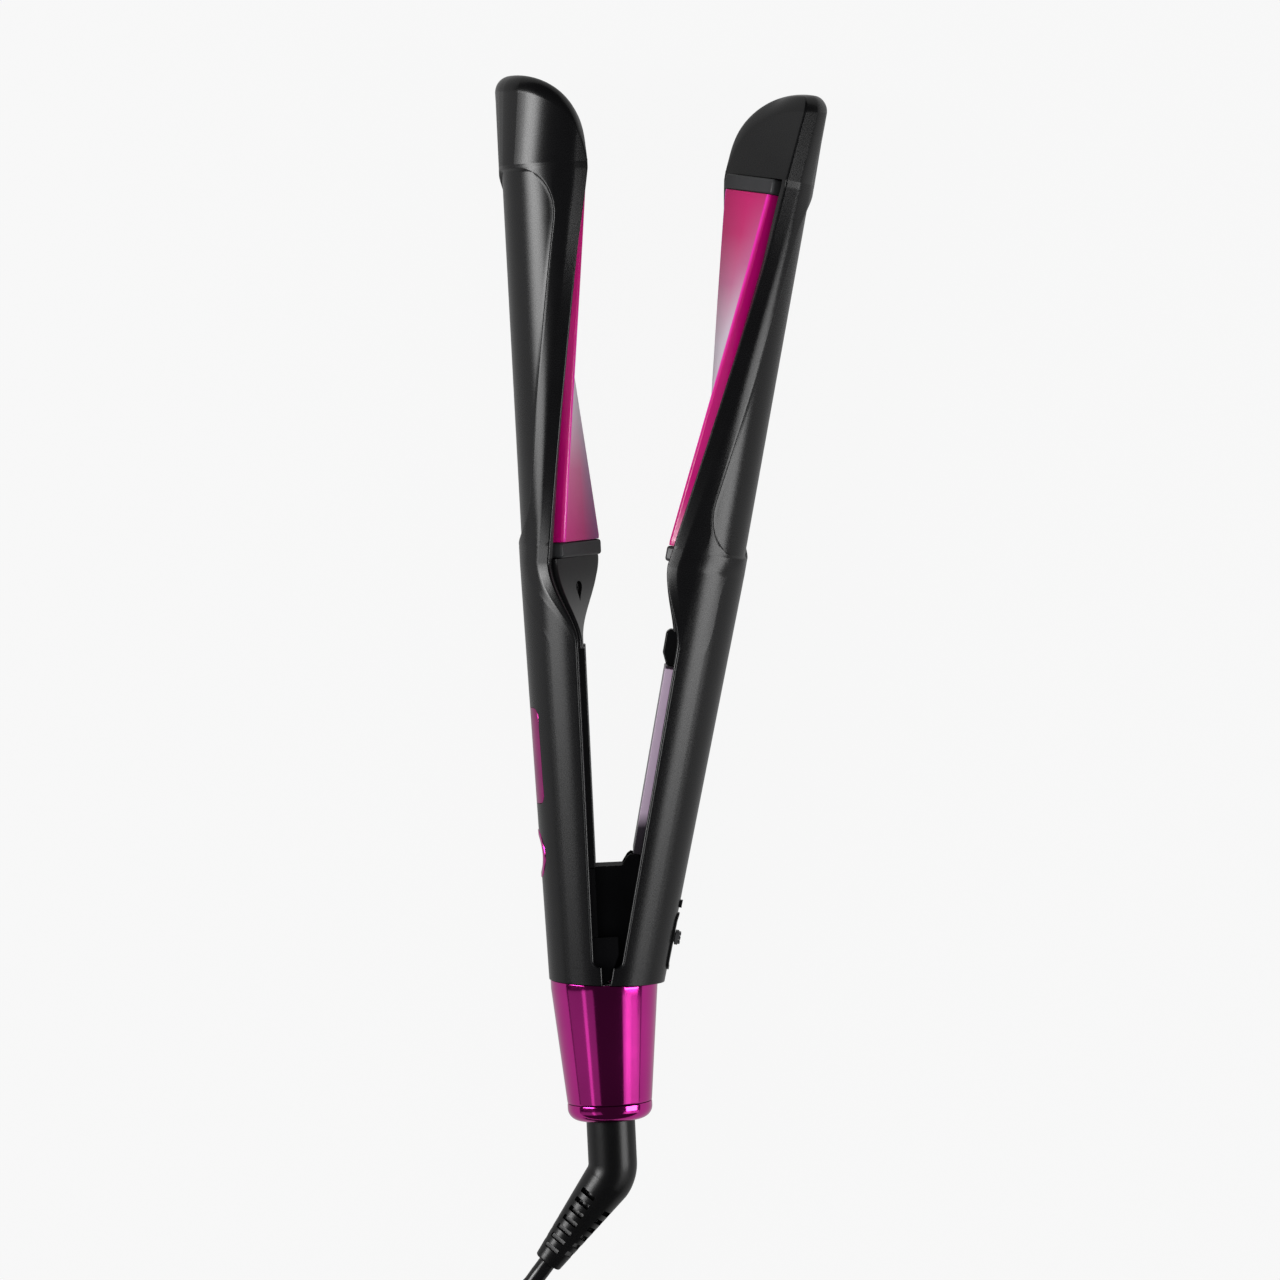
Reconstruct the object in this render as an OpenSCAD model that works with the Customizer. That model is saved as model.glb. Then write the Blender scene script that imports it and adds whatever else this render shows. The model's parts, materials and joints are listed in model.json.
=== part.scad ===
// Twisted-plate hair styling iron: two arms on one hinge, with a swivelling cord.
// The fixed arm lies along +Y with its split face towards +X, and +Z is up off the table.
// Lengths along an arm are counted from the hinge pin. Both arms are drawn as the fixed one,
// and the moving one is that shape turned half round and swung open.

/* [Barrel] */
// Opening angle of the moving arm
open_angle = 12.5; // [9:0.5:14]
// Radius of the closed barrel at the tail cone
tail_r = 15.4; // [15:0.1:16.5]
// Radius of the closed barrel where the head begins
head_r = 18.1; // [17.6:0.1:19]
// Radius of the closed barrel at the nose
nose_r = 18.7; // [18:0.1:20]
// Wall of the arm shells
shell_wall = 2.2; // [1.8:0.1:2.6]
// Distance of the shell rims from the split face
rim_gap = 2.5; // [2:0.1:3]
// Lower end of the arm shells
arm_start = 5.2; // [5:0.1:6]
// Gap between each arm and the split face below the throat
seam_gap = 0.3; // [0.2:0.05:0.5]
// Lower end of the throat, where the rims step back
throat_start = 14; // [13:0.5:16]
// Height of the seam between the cone and the grips, on the middle line
mouth_s = 6.7; // [6:0.1:7]
// Slope of that seam across the grips
mouth_tilt = 3.9; // [0:0.1:4]

/* [Head] */
// Start of the S-bend at the top of the grip
bend_start = 103; // [100:1:108]
// End of the S-bend
bend_end = 126; // [122:1:128]
// Twist of the shell at the end of the S-bend
twist_low = 25; // [15:1:30]
// Twist of the shell at the nose, the other way
twist_top = 31; // [20:1:35]
// Twist of the plate at its lower end
plate_twist_low = 28; // [18:1:32]
// Twist of the plate at its upper end, the other way
plate_twist_top = 35; // [24:1:38]
// Half width of the head over its rims
head_rim_w = 16.5; // [15.5:0.1:17]
// Angle of the flank ridge from the split face
ridge_angle = 25; // [20:1:30]
// Angle of the sunk band's border from the split face
band_angle = 35; // [33:1:45]
// Depth of the sunk band round the back of the head
band_depth = 0.85; // [0.4:0.05:1.1]
// Lower end of the sunk band
band_start = 130.5; // [127:0.5:132]
// Distance of the head's rims from the split face beside the plates
head_rim_gap = 3.1; // [2.5:0.1:3.4]
// Length over which the ends of the sunk band are rounded
band_round = 15; // [10:1:20]

/* [Nose] */
// Length of the solid nose past the plates' upper bars
nose_len = 25; // [22:0.1:30]
// Distance of the nose's face from the split face
nose_gap = 2.2; // [2:0.1:2.6]
// Distance from the arm's line to the nose's tip, on the outer side
nose_tip = 14; // [10:0.5:16]
// Distance from the nose's tip to the side where it falls away
nose_fall = 20.4; // [18:0.1:22]
// Rounding of the nose's edges
nose_round = 4.5; // [3:0.5:5]
// Twist of the nose for each millimetre of its length
nose_twist = 0.45; // [0:0.05:0.5]

/* [Plates] */
// Lower end of the styling plates
plate_start = 131.3; // [131:0.1:134]
// Length of the styling plates
plate_len = 101.2; // [94:0.1:101.4]
// Width of the styling plates
plate_w = 22; // [18:0.5:23]
// Thickness of the styling plates
plate_t = 4.4; // [3.6:0.1:4.4]
// Rounding of the plates' long edges
plate_round = 1.2; // [0.6:0.1:1.5]
// Distance of each plate's face from the split face
plate_gap = 0.18; // [0.15:0.01:0.3]
// Length of the insulating bars at the plates' ends
bar_len = 4.4; // [3:0.1:4.4]
// Width of the insulating bars
bar_w = 22.6; // [20:0.2:24]
// Distance of the insulating bars' faces from the split face
bar_gap = 0.4; // [0.3:0.1:1.2]
// Thickness of the heater strips
heater_t = 1.2; // [1:0.1:1.2]
// Width of the heater strips
heater_w = 14; // [8:0.5:16]
// Thickness of the heater clamps
clamp_t = 1; // [0.8:0.1:1]
// Width of the heater clamps
clamp_w = 18; // [12:0.5:19]
// Thickness of the plate carriers
carrier_t = 1.3; // [1:0.1:1.3]

/* [Grip covers] */
// Upper end of the fixed arm's inner cover
fixed_cover_end = 101.5; // [100:0.1:102]
// Lower end of the moving arm's inner cover
moving_cover_start = 44.3; // [42:0.1:60]
// Upper end of the moving arm's inner cover
moving_cover_end = 97.2; // [94:0.1:97.2]
// Distance of the fixed arm's cover from the split face
fixed_cover_gap = 0.8; // [0.5:0.1:1.2]
// Distance of the moving arm's cover from the split face
moving_cover_gap = 0.3; // [0.2:0.1:1]
// Thickness of the inner covers
cover_t = 3; // [2.4:0.1:3.4]
// Thickness of the neck covers beside the S-bend
neck_t = 2.2; // [1.6:0.1:2.6]
// Upper end of the alignment post
post_end = 107.8; // [106:0.1:108.5]
// Length of the alignment post along the arm
post_len = 10.4; // [8:0.1:10.4]
// Width of the alignment post
post_w = 6; // [4:0.5:8]
// Reach of the alignment post past the split face
post_reach = 0.9; // [0.6:0.1:3.6]
// Clearance round the alignment post when the arms are shut
post_clear = 0.4; // [0.3:0.1:0.6]
// Place of the screw recess in the neck covers
neck_screw_s = 118; // [114:0.5:120]

/* [Controls] */
// Lower end of the display window
window_start = 58; // [57:0.5:62]
// Length of the display window
window_len = 27; // [20:0.5:28]
// Width of the display window
window_w = 16; // [12:0.5:17]
// Corner radius of the display window
window_round = 2.5; // [1:0.1:4]
// Thickness of the display window
window_t = 1.6; // [1.2:0.1:1.8]
// Place of the power button
button_s = 43.5; // [42:0.5:46]
// Outer radius of the ring round the power button
button_ring_r = 6.45; // [5.5:0.05:7]
// Radius of the power button
button_r = 5; // [4:0.1:5.5]
// Travel of the power button
button_travel = 0.6; // [0.4:0.1:0.7]
// Thickness of the circuit board
board_t = 1.4; // [1:0.1:1.6]
// Upper end of the circuit board
board_end = 92; // [88:1:96]

/* [Lock] */
// Lower end of the lock's track
track_start = 12.7; // [12.5:0.1:14]
// Length of the lock's track
track_len = 16.3; // [15:0.1:17]
// Width of the lock's track
track_w = 8; // [6:0.5:10]
// Place of the lock's knob when unlocked
knob_s = 22; // [21.5:0.1:22.5]
// Length of the lock's knob
knob_len = 3.9; // [3:0.1:4.5]
// Height of the lock's knob above the barrel
knob_h = 2; // [1.5:0.1:3]
// Travel of the lock towards the hinge
lock_travel = 5; // [4:0.1:5]

/* [Tail] */
// Radius of the tail cone at its mouth
cone_r = 15.1; // [15:0.1:16]
// Radius of the tail cone at its lower end
cone_end_r = 12; // [11.6:0.1:13]
// Length of the tail cone below the hinge pin
cone_drop = 27.7; // [27:0.1:30]
// Wall of the tail cone
cone_wall = 1.8; // [1.4:0.1:1.9]
// Length of the end ring
ring_len = 5; // [4:0.1:6]
// Rounding of the end ring
ring_round = 3.4; // [2.5:0.1:3.8]
// Radius of the hinge pin
pin_r = 2; // [1.5:0.1:2.2]
// Radial clearance between the hinge pin and the moving knuckle
pin_clear = 0.05; // [0.02:0.01:0.1]

/* [Cord] */
// Radius of the strain relief's stem
stem_r = 6.9; // [6:0.05:7]
// Radial clearance between the stem and the end ring
stem_clear = 0.06; // [0.02:0.01:0.1]
// Bend of the strain relief
boot_bend = 39; // [30:1:45]
// Radius of the strain relief's bend
boot_bend_r = 9; // [8.5:0.5:12]
// Length of the slotted part of the strain relief
boot_len = 28.3; // [26:0.1:30]
// Radius of the strain relief at its lower end
boot_end_r = 4; // [3.8:0.1:4.5]
// Spacing of the strain relief's slots
slot_pitch = 3.1; // [2.6:0.1:3.2]
// Diameter of the cord
cord_d = 5; // [5:0.5:5]
// Turns of the coil in each layer
coil_turns = 4; // [3:1:4]

/* [Hidden] */

$fn = 48;
black = [0.055, 0.055, 0.06];
magenta = [0.80, 0.05, 0.45];
steel = [0.66, 0.67, 0.70];
grey = [0.33, 0.33, 0.35];

fit = 0.3;             // gap between moulded pieces
seat = 0.1;            // gap between pieces that rest on one another
grip_end = 101;        // upper end of the turned part of the shells
plate_end = plate_start + plate_len;
bar_top_start = plate_end + seat;
bar_low_start = plate_start - seat - bar_len;
nose_start = bar_top_start + bar_len + 2 * seat;
band_end = nose_start - 0.8;

// ---------- small helpers ----------

function mix(a, b, t) = a + (b - a) * t;
function unit_part(t) = max(0, min(1, t));
function ease(t) = let (c = unit_part(t)) c * c * (3 - 2 * c);
function arc(cx, cy, r, a0, a1, n) =
    [for (i = [0 : n]) let (a = mix(a0, a1, i / n)) [cx + r * cos(a), cy + r * sin(a)]];

// Side faces between rings of n points, as triangles.
function skin_sides(rings, n) = [
    for (k = [0 : rings - 2], i = [0 : n - 1])
        let (a = k * n + i, b = k * n + (i + 1) % n, c = a + n, d = b + n)
        each [[a, b, d], [a, d, c]]
];

// Flat fans over the two ends of a skin with convex rings.
function fan_ends(rings, n) = let (top = (rings - 1) * n) [
    for (i = [1 : n - 2]) each [[0, i + 1, i], [top, top + i, top + i + 1]]
];

// Strips over the two ends of a skin whose rings run out along m points and back along the rest.
function strip_ends(rings, n, m) =
    let (inner = n - m, top = (rings - 1) * n)
    [for (e = [0, 1]) let (base = e * top)
        each concat(
            [for (i = [0 : m - 2]) let (j = n - 1 - round(i * (inner - 1) / (m - 1)))
                e == 0 ? [base + i, base + j, base + i + 1]
                       : [base + i, base + i + 1, base + j]],
            [for (q = [0 : inner - 2])
                let (j = n - 1 - q, i = ceil((q + 0.5) * (m - 1) / (inner - 1)))
                e == 0 ? [base + j, base + j - 1, base + i]
                       : [base + j, base + i, base + j - 1]])
    ];

// Point of the arm's section: u along the split face, v away from it, on station s turned by phi.
function set_out(u, v, s, phi) =
    [-v * cos(phi) - u * sin(phi), s, -v * sin(phi) + u * cos(phi)];

// ---------- lines of the arm ----------

function barrel_r(s) = s < bend_end
    ? mix(tail_r, head_r, (s - arm_start) / (bend_end - arm_start))
    : mix(head_r, nose_r, unit_part((s - bend_end) / (nose_start - bend_end)));
function head_part(s) = ease((s - bend_start) / (bend_end - bend_start));
function shell_twist(s) = s < bend_end
    ? twist_low * head_part(s)
    : mix(twist_low, -twist_top, unit_part((s - bend_end) / (nose_start - 2 - bend_end)));
function plate_twist(s) =
    mix(plate_twist_low, -plate_twist_top, (s - plate_start) / plate_len);
// The rims lie deeper beside the plates, and come up again over the last stretch to the nose.
rim_rise = 28;
function rim_at(s) = mix(mix(rim_gap, head_rim_gap, head_part(s)), nose_gap,
    ease((s - nose_start + rim_rise) / rim_rise));
function rim_half(s) =
    mix(sqrt(pow(barrel_r(s), 2) - pow(rim_gap, 2)), head_rim_w, head_part(s));
function ridge_at(s) = mix(asin(rim_gap / barrel_r(s)) + 3, ridge_angle, head_part(s));
function band_edge(s) = min(s - band_start, band_end - s);
band_shut = 80;
function band_at(s) =
    let (e = band_edge(s), t = unit_part((band_round - e) / band_round))
    e < 0 && s < band_end
        ? mix(band_angle, band_shut, unit_part((s - bend_start) / (band_start - bend_start)))
        : mix(band_shut, band_angle, sqrt(max(0, 1 - t * t)));
function band_sink(s) = band_depth * unit_part(band_edge(s) / 1.2);

// ---------- shell of the head ----------

rim_round = 0.5;       // rounding of the shell rims
band_step = 1.6;       // angle over which the sunk band's border drops
outer_half = 12;       // points from the back of the arm to its rim, past the first
inner_half = 4;
inner_angles = [0, 17, 39, 64, 90];
shell_ring = 2 * (outer_half + inner_half) + 2;

// Half outline from the back of the arm to the rim, as [u, v]; tuck draws the wall in all round.
function outer_line(s, tuck) =
    let (r = barrel_r(s) - tuck, ba = band_at(s), ra = ridge_at(s), low = r - band_sink(s),
         rim = rim_half(s) - tuck, g = rim_at(s) + tuck,
         ridge = [r * cos(ra), r * sin(ra)])
    concat(
        [for (k = [0 : 4]) let (a = mix(90, ba + band_step, k / 4)) [low * cos(a), low * sin(a)]],
        [for (k = [0 : 4]) let (a = mix(ba, ra, k / 4)) [r * cos(a), r * sin(a)]],
        [[mix(ridge.x, rim, 0.5), mix(ridge.y, g + rim_round, 0.5)],
         [rim, g + rim_round], [rim - rim_round, g]]);
function inner_line(s, tuck) =
    let (r = barrel_r(s) - band_sink(s) - shell_wall + tuck,
         side = rim_half(s) - shell_wall + tuck)
    [for (k = [0 : inner_half]) let (a = inner_angles[k])
        k == 0 ? [side, rim_at(s) + tuck] : [min(side, r * cos(a)), max(rim_at(s) + 1, r * sin(a))]];
function face_line(s) =
    let (side = rim_half(s) - shell_wall)
    [for (k = [0 : inner_half]) [side * (1 - k / inner_half), nose_gap]];
function flip(p) = [-p.x, p.y];
function whole_ring(outer, inner) =
    let (no = len(outer) - 1, ni = len(inner) - 1)
    concat([for (k = [no : -1 : 1]) outer[k]], [for (p = outer) flip(p)],
           [for (p = inner) flip(p)], [for (k = [ni - 1 : -1 : 0]) inner[k]]);

// The nose is cut off along an arc that falls away from its tip, with rounded edges.
nose_heart = [-2, 8];  // the middle that the nose's edges close towards
nose_crown = 1.2;      // how far the nose's end drops at its upper and lower sides
function nose_reach(p) = let (t = max(0, min(0.995, (p.x + nose_tip) / nose_fall)))
    max(0.4, nose_len * sqrt(1 - t * t) - nose_crown * pow(p.z / 15, 2));
// Point of the nose over a point p of its section: b turns over the edge, g closes in.
function nose_point(p, b, g) =
    let (out = p - nose_heart,
         q = nose_heart + g * (1 - nose_round / norm(out) * (1 - cos(b))) * out,
         reach = nose_reach(set_out(q.x, q.y, 0, -twist_top)),
         up = reach - min(nose_round, 0.8 * reach) * (1 - sin(b)))
    set_out(q.x, q.y, nose_start + up, -twist_top - nose_twist * up);

nose_wall = 0.1;       // length over which the hollow closes at the nose
bend_steps = 8;
head_steps = 13;
band_steps = [0, 1.2, 3, 6, 10, 15];
nose_rings = [[0, 1], [25, 1], [50, 1], [90, 1], [90, 0.7], [90, 0.35], [90, 0.02]];
head_stations = concat(
    [for (k = [0 : bend_steps]) mix(bend_start, bend_end, k / bend_steps)],
    [for (t = band_steps) band_start + t * band_round / 15],
    [for (k = [1 : head_steps - 1])
        mix(band_start + band_round, band_end - band_round, k / head_steps)],
    [for (k = [5 : -1 : 0]) band_end - band_steps[k] * band_round / 15],
    [nose_start - nose_wall]);
function lay(ring, s, phi) = [for (p = ring) set_out(p.x, p.y, s, phi)];
first_tuck = 0.05;     // the head's first ring lies this far inside the grip's wall
head_rings = concat(
    [lay(whole_ring(outer_line(grip_end - 0.4, first_tuck), inner_line(grip_end - 0.4, first_tuck)),
         grip_end - 0.4, 0)],
    [for (s = head_stations) lay(whole_ring(outer_line(s, 0), inner_line(s, 0)), s, shell_twist(s))],
    [lay(whole_ring(outer_line(nose_start, 0), face_line(nose_start)), nose_start, -twist_top)],
    [for (ring = nose_rings)
        [for (p = whole_ring(outer_line(nose_start, 0), face_line(nose_start)))
            nose_point(p, ring[0], ring[1])]]);
head_points = [for (ring = head_rings) each ring];

// ---------- place on the table ----------

// The box of the iron without its cord, with the moving arm open.
function swing(p) = [-p.x * cos(open_angle) + p.y * sin(open_angle),
                     p.x * sin(open_angle) + p.y * cos(open_angle), -p.z];
swung_points = [for (p = head_points) swing(p)];
box_left = min([for (p = head_points) p.x]);
box_right = max([for (p = swung_points) p.x]);
box_top = max([for (p = concat(head_points, swung_points)) p.y]);
box_bottom = -cone_drop - ring_len;
box_low = min([for (p = concat(head_points, swung_points)) p.z]);
place = [-(box_left + box_right) / 2, -(box_top + box_bottom) / 2, -box_low];

module on_table() translate(place) children();
module moving() on_table() rotate([0, 0, -open_angle]) children();
module moving_arm() moving() rotate([0, 180, 0]) children();

// ---------- shapes used more than once ----------

module turned(points) rotate([-90, 0, 0]) rotate_extrude() polygon(points);

// Stretch of the grip's skin: out above the barrel's surface, thick through.
module barrel_skin(s0, s1, out, thick)
    turned([[barrel_r(s0) + out - thick, s0], [barrel_r(s0) + out, s0],
            [barrel_r(s1) + out, s1], [barrel_r(s1) + out - thick, s1]]);

module rounded_rect(l, w, r) {
    square([l - 2 * r, w], center = true);
    square([l, w - 2 * r], center = true);
    for (x = [-1, 1], y = [-1, 1]) translate([x * (l / 2 - r), y * (w / 2 - r)]) circle(r);
}

// Block along -X with a rounded outline in the YZ plane, from depth x0 to depth x1.
module plunge(x0, x1, s, l, w, r)
    translate([-x1, s, 0]) rotate([90, 0, 90]) linear_extrude(x1 - x0) rounded_rect(l, w, r);

// Round bar along X, from depth x0 to depth x1 behind the split face.
module stud(x0, x1, s, z, r) translate([-x1, s, z]) rotate([0, 90, 0]) cylinder(r = r, h = x1 - x0);

// Twisted bar behind the split face: its outline ring in [u, v] follows the plate or the shell.
plate_steps = 24;
module twisted(ring, s0, s1, steps, on_plate) {
    n = len(ring);
    points = [for (k = [0 : steps], p = ring)
        let (s = mix(s0, s1, k / steps))
        set_out(p.x, p.y, s, on_plate ? plate_twist(s) : shell_twist(s))];
    polyhedron(points, concat(skin_sides(steps + 1, n), fan_ends(steps + 1, n)));
}

// ---------- arm shells ----------

block = 80;            // size of the block that cuts everything off past a plane

// Everything below the seam between the cone and the grips, or below a line this far above it.
module below_mouth(above) translate([0, mouth_s + above, 0]) rotate([0, 0, -mouth_tilt])
    translate([-block / 2, -block, -block / 2]) cube(block);

module grip_half() {
    corner = rim_gap - seam_gap;
    intersection() {
        barrel_skin(arm_start, grip_end, 0, shell_wall);
        translate([0, 0, -30]) linear_extrude(60) polygon(concat(
            [[-30, arm_start - 1], [-seam_gap, arm_start - 1]],
            arc(-seam_gap, throat_start, corner, 270, 180, 6),
            [[-rim_gap, grip_end + 1], [-30, grip_end + 1]]));
    }
}

module head_skin()
    polyhedron(head_points, concat(skin_sides(len(head_rings), shell_ring),
        strip_ends(len(head_rings), shell_ring, 2 * outer_half + 1)));

module fixed_shell() color(black) on_table() union() {
    difference() {
        grip_half();
        plunge(barrel_r(window_start) - shell_wall - 3, 30, window_start + window_len / 2,
               window_len + 2 * seat, window_w + 2 * seat, window_round + seat);
        stud(5, 30, button_s, 0, button_ring_r + seat);
        below_mouth(seat);
    }
    head_skin();
}

stem_w = 3;            // width of the lock's stem
stem_len = 2.8;        // length of the lock's stem and tooth along the arm
track_t = 1.3;         // thickness of the lock's track
track_out = 0.5;       // height of the lock's track above the barrel
slot_low = knob_s - lock_travel - stem_len / 2 - 0.4;
slot_high = knob_s + stem_len / 2 + 0.4;
pip_s = track_start + track_len + 2.6;   // place of the small pip above the track

// Sunk seat for the lock's track.
module track_seat() intersection() {
    barrel_skin(track_start - 1, track_start + track_len + 1, 3, 3 - track_out + track_t + seat);
    plunge(10, 30, track_start + track_len / 2, track_len + 2 * seat, track_w + 2 * seat, 3);
}

module moving_shell() color(black) moving_arm() union() {
    difference() {
        grip_half();
        track_seat();
        plunge(8, 30, (slot_low + slot_high) / 2, slot_high - slot_low, stem_w + 0.6, 0.5);
        // the lower end is flush with the cone when the arm is open
        rotate([0, 180, 0]) rotate([0, 0, open_angle]) below_mouth(seat);
        link_room();
    }
    intersection() {
        barrel_skin(pip_s - 1.2, pip_s + 1.2, 0.7, 1.4);
        plunge(10, 30, pip_s, 2.2, 3.4, 1);
    }
    head_skin();
}

// ---------- plates and what lies behind them ----------

plate_ring = let (w = plate_w / 2, r = plate_round, g = plate_gap) concat(
    arc(-w + r, g + r, r, 180, 270, 3),
    [[-w / 2, g], [0, g], [w / 2, g]],
    arc(w - r, g + r, r, 270, 360, 3),
    [[w, g + plate_t], [0, g + plate_t], [-w, g + plate_t]]);
carrier_room = 1.1;    // room behind the clamp, which twists a little more than the shell
heater_v = plate_gap + plate_t + fit;
clamp_v = heater_v + heater_t + fit;
carrier_v = clamp_v + clamp_t + carrier_room;
rail_v = plate_gap + plate_t + fit;

function bar_ring(w, v, t) =
    [[0, v], [w / 2, v], [w / 2, v + t], [0, v + t], [-w / 2, v + t], [-w / 2, v]];

module plate() twisted(plate_ring, plate_start, plate_end, plate_steps, true);
module heater()
    twisted(bar_ring(heater_w, heater_v, heater_t), plate_start + 8, plate_end - 8, 16, true);
module clamp()
    twisted(bar_ring(clamp_w, clamp_v, clamp_t), plate_start + 5, plate_end - 5, 18, true);

// Carrier: a shallow tray that holds the plate in the shell.
module carrier() {
    side = head_rim_w - shell_wall - fit - 0.7;
    lip = plate_w / 2 + 0.5;
    deep = carrier_v + carrier_t;
    outer = [[side, rail_v], [side - 0.2, rail_v + 0.9], [side - 3.2, deep], [3.2 - side, deep],
             [0.2 - side, rail_v + 0.9], [-side, rail_v]];
    inner = [[-lip, rail_v], [-lip, rail_v + 1.2], [1.4 - lip, carrier_v], [lip - 1.4, carrier_v],
             [lip, rail_v + 1.2], [lip, rail_v]];
    s0 = plate_start + fit;
    s1 = plate_end - fit;
    points = [for (k = [0 : plate_steps], p = concat(outer, inner))
        let (s = mix(s0, s1, k / plate_steps)) set_out(p.x, p.y, s, shell_twist(s))];
    polyhedron(points, concat(skin_sides(plate_steps + 1, 12), strip_ends(plate_steps + 1, 12, 6)));
}

// Insulating bar with chamfered face edges, square across the arm.
module bar(s0) {
    w = bar_w / 2;
    depth = rail_v + 0.9;
    s_mid = s0 + bar_len / 2;
    translate([0, s0 + bar_len, 0]) rotate([0, -plate_twist(s_mid), 0]) rotate([90, 0, 0])
        linear_extrude(bar_len)
            polygon([[-bar_gap, -w + 1], [-bar_gap, w - 1], [-bar_gap - 1, w], [-depth, w],
                     [-depth, -w], [-bar_gap - 1, -w]]);
}

module fixed_plate() color(magenta) on_table() plate();
module moving_plate() color(magenta) moving_arm() plate();
module fixed_carrier() color(black) on_table() carrier();
module moving_carrier() color(black) moving_arm() carrier();
module fixed_bar_low() color(grey) on_table() bar(bar_low_start);
module fixed_bar_top() color(grey) on_table() bar(bar_top_start);
module moving_bar_low() color(grey) moving_arm() bar(bar_low_start);
module moving_bar_top() color(grey) moving_arm() bar(bar_top_start);
module fixed_heater() color(steel) on_table() heater();
module moving_heater() color(steel) moving_arm() heater();
module fixed_clamp() color(steel) on_table() clamp();
module moving_clamp() color(steel) moving_arm() clamp();

// ---------- covers on the inner side ----------

function inner_chord(s) = sqrt(pow(barrel_r(s) - shell_wall, 2) - pow(rim_at(s) + 1.5, 2)) - fit;

// Long cover over a grip's open side, from station s0 to s1.
module long_cover(s0, s1, gap) {
    back = gap + cover_t;
    step = 0.8;        // the raised strip is this much narrower than the tray under it
    for (layer = [[gap, back, step + 0.7], [rim_gap + 0.4, back, 0]])
        translate([-layer[1], 0, 0]) rotate([90, 0, 90])
            linear_extrude(layer[1] - layer[0])
                polygon([[s0, -inner_chord(s0) + layer[2]], [s1, -inner_chord(s1) + layer[2]],
                         [s1, inner_chord(s1) - layer[2]], [s0, inner_chord(s0) - layer[2]]]);
}

neck_start = fixed_cover_end + seat;
neck_end = bar_low_start - seat;
neck_proud = 1.1;      // how far the neck cover's face stands over the rims
neck_steps = 9;

// Teardrop with its point towards the hinge, wider across the arm than a round one.
module teardrop(r, len) scale([1, 1.3]) polygon(concat(arc(0, 0, r, -115, 115, 20), [[-len, 0]]));

neck_face = rim_at(neck_screw_s) - neck_proud;

// Cover beside the S-bend, twisted with the shell; s0 is its lower end.
module neck_cover(s0) {
    points = [for (k = [0 : neck_steps])
        let (s = mix(s0, neck_end, k / neck_steps), h = rim_half(s) - shell_wall - fit,
             w = s < bend_start ? inner_chord(s) : min(h, inner_chord(s)), g = rim_at(s) - neck_proud)
        each [for (p = [[w, g + neck_t], [-w, g + neck_t], [-w, g + 1], [-w + 0.9, g],
                        [0, g], [w - 0.9, g], [w, g + 1]])
            set_out(p.x, p.y, s, shell_twist(s))]];
    twist = shell_twist(neck_screw_s);
    difference() {
        polyhedron(points, concat(skin_sides(neck_steps + 1, 7), fan_ends(neck_steps + 1, 7)));
        rotate([0, -twist, 0]) translate([-neck_face - 1.3, neck_screw_s, 0]) rotate([90, 0, 90])
            linear_extrude(6) teardrop(1.9, 3.8);
    }
}

post_start = post_end - post_len;
module post_pocket()
    translate([-post_reach - post_clear, post_start - post_clear, -post_w / 2 - post_clear])
    cube([20, post_len + 2 * post_clear, post_w + 2 * post_clear]);

web_top = 39.5;        // upper end of the throat web
module fixed_cover() color(black) on_table() difference() {
    long_cover(web_top + seat, fixed_cover_end, fixed_cover_gap);
    post_pocket();
}
module fixed_neck_cover() color(black) on_table() neck_cover(neck_start);
module moving_cover() color([0.62, 0.52, 0.66]) moving_arm()
    long_cover(moving_cover_start, moving_cover_end, moving_cover_gap);
module moving_neck_cover() color(black) moving_arm() neck_cover(post_end + seat);

// Post on the moving arm that finds its pocket in the fixed arm when the iron shuts.
module alignment_post() color(black) moving_arm() translate([0, 0, -post_w / 2]) {
    linear_extrude(post_w) polygon([[-rim_gap - 1, post_start], [post_reach - 1.6, post_start],
        [post_reach, post_start + 3.5], [post_reach, post_end - 1], [post_reach - 1, post_end],
        [-rim_gap - 1, post_end]]);
    translate([0, 0, post_w / 2]) plunge(rim_gap + 1, rim_gap + 2.2, (post_start + post_end) / 2,
        post_len, 2 * inner_chord(post_start) - 1, 1);
}

// ---------- throat web, hinge and lock ----------

fin_low = 4;           // distance of each fin from the middle plane
fin_t = 2.2;           // thickness of each fin
hook_near = 8.6;       // depth of the lock's tooth at its near side
hook_far = 10;         // depth of the lock's tooth at its far side
lip_t = 1.15;          // thickness of the lip that the tooth goes behind
tongue_z = 10.9;       // distance of each tongue from the middle plane
fin_reach = hook_far + 0.25 + lip_t;

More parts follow.
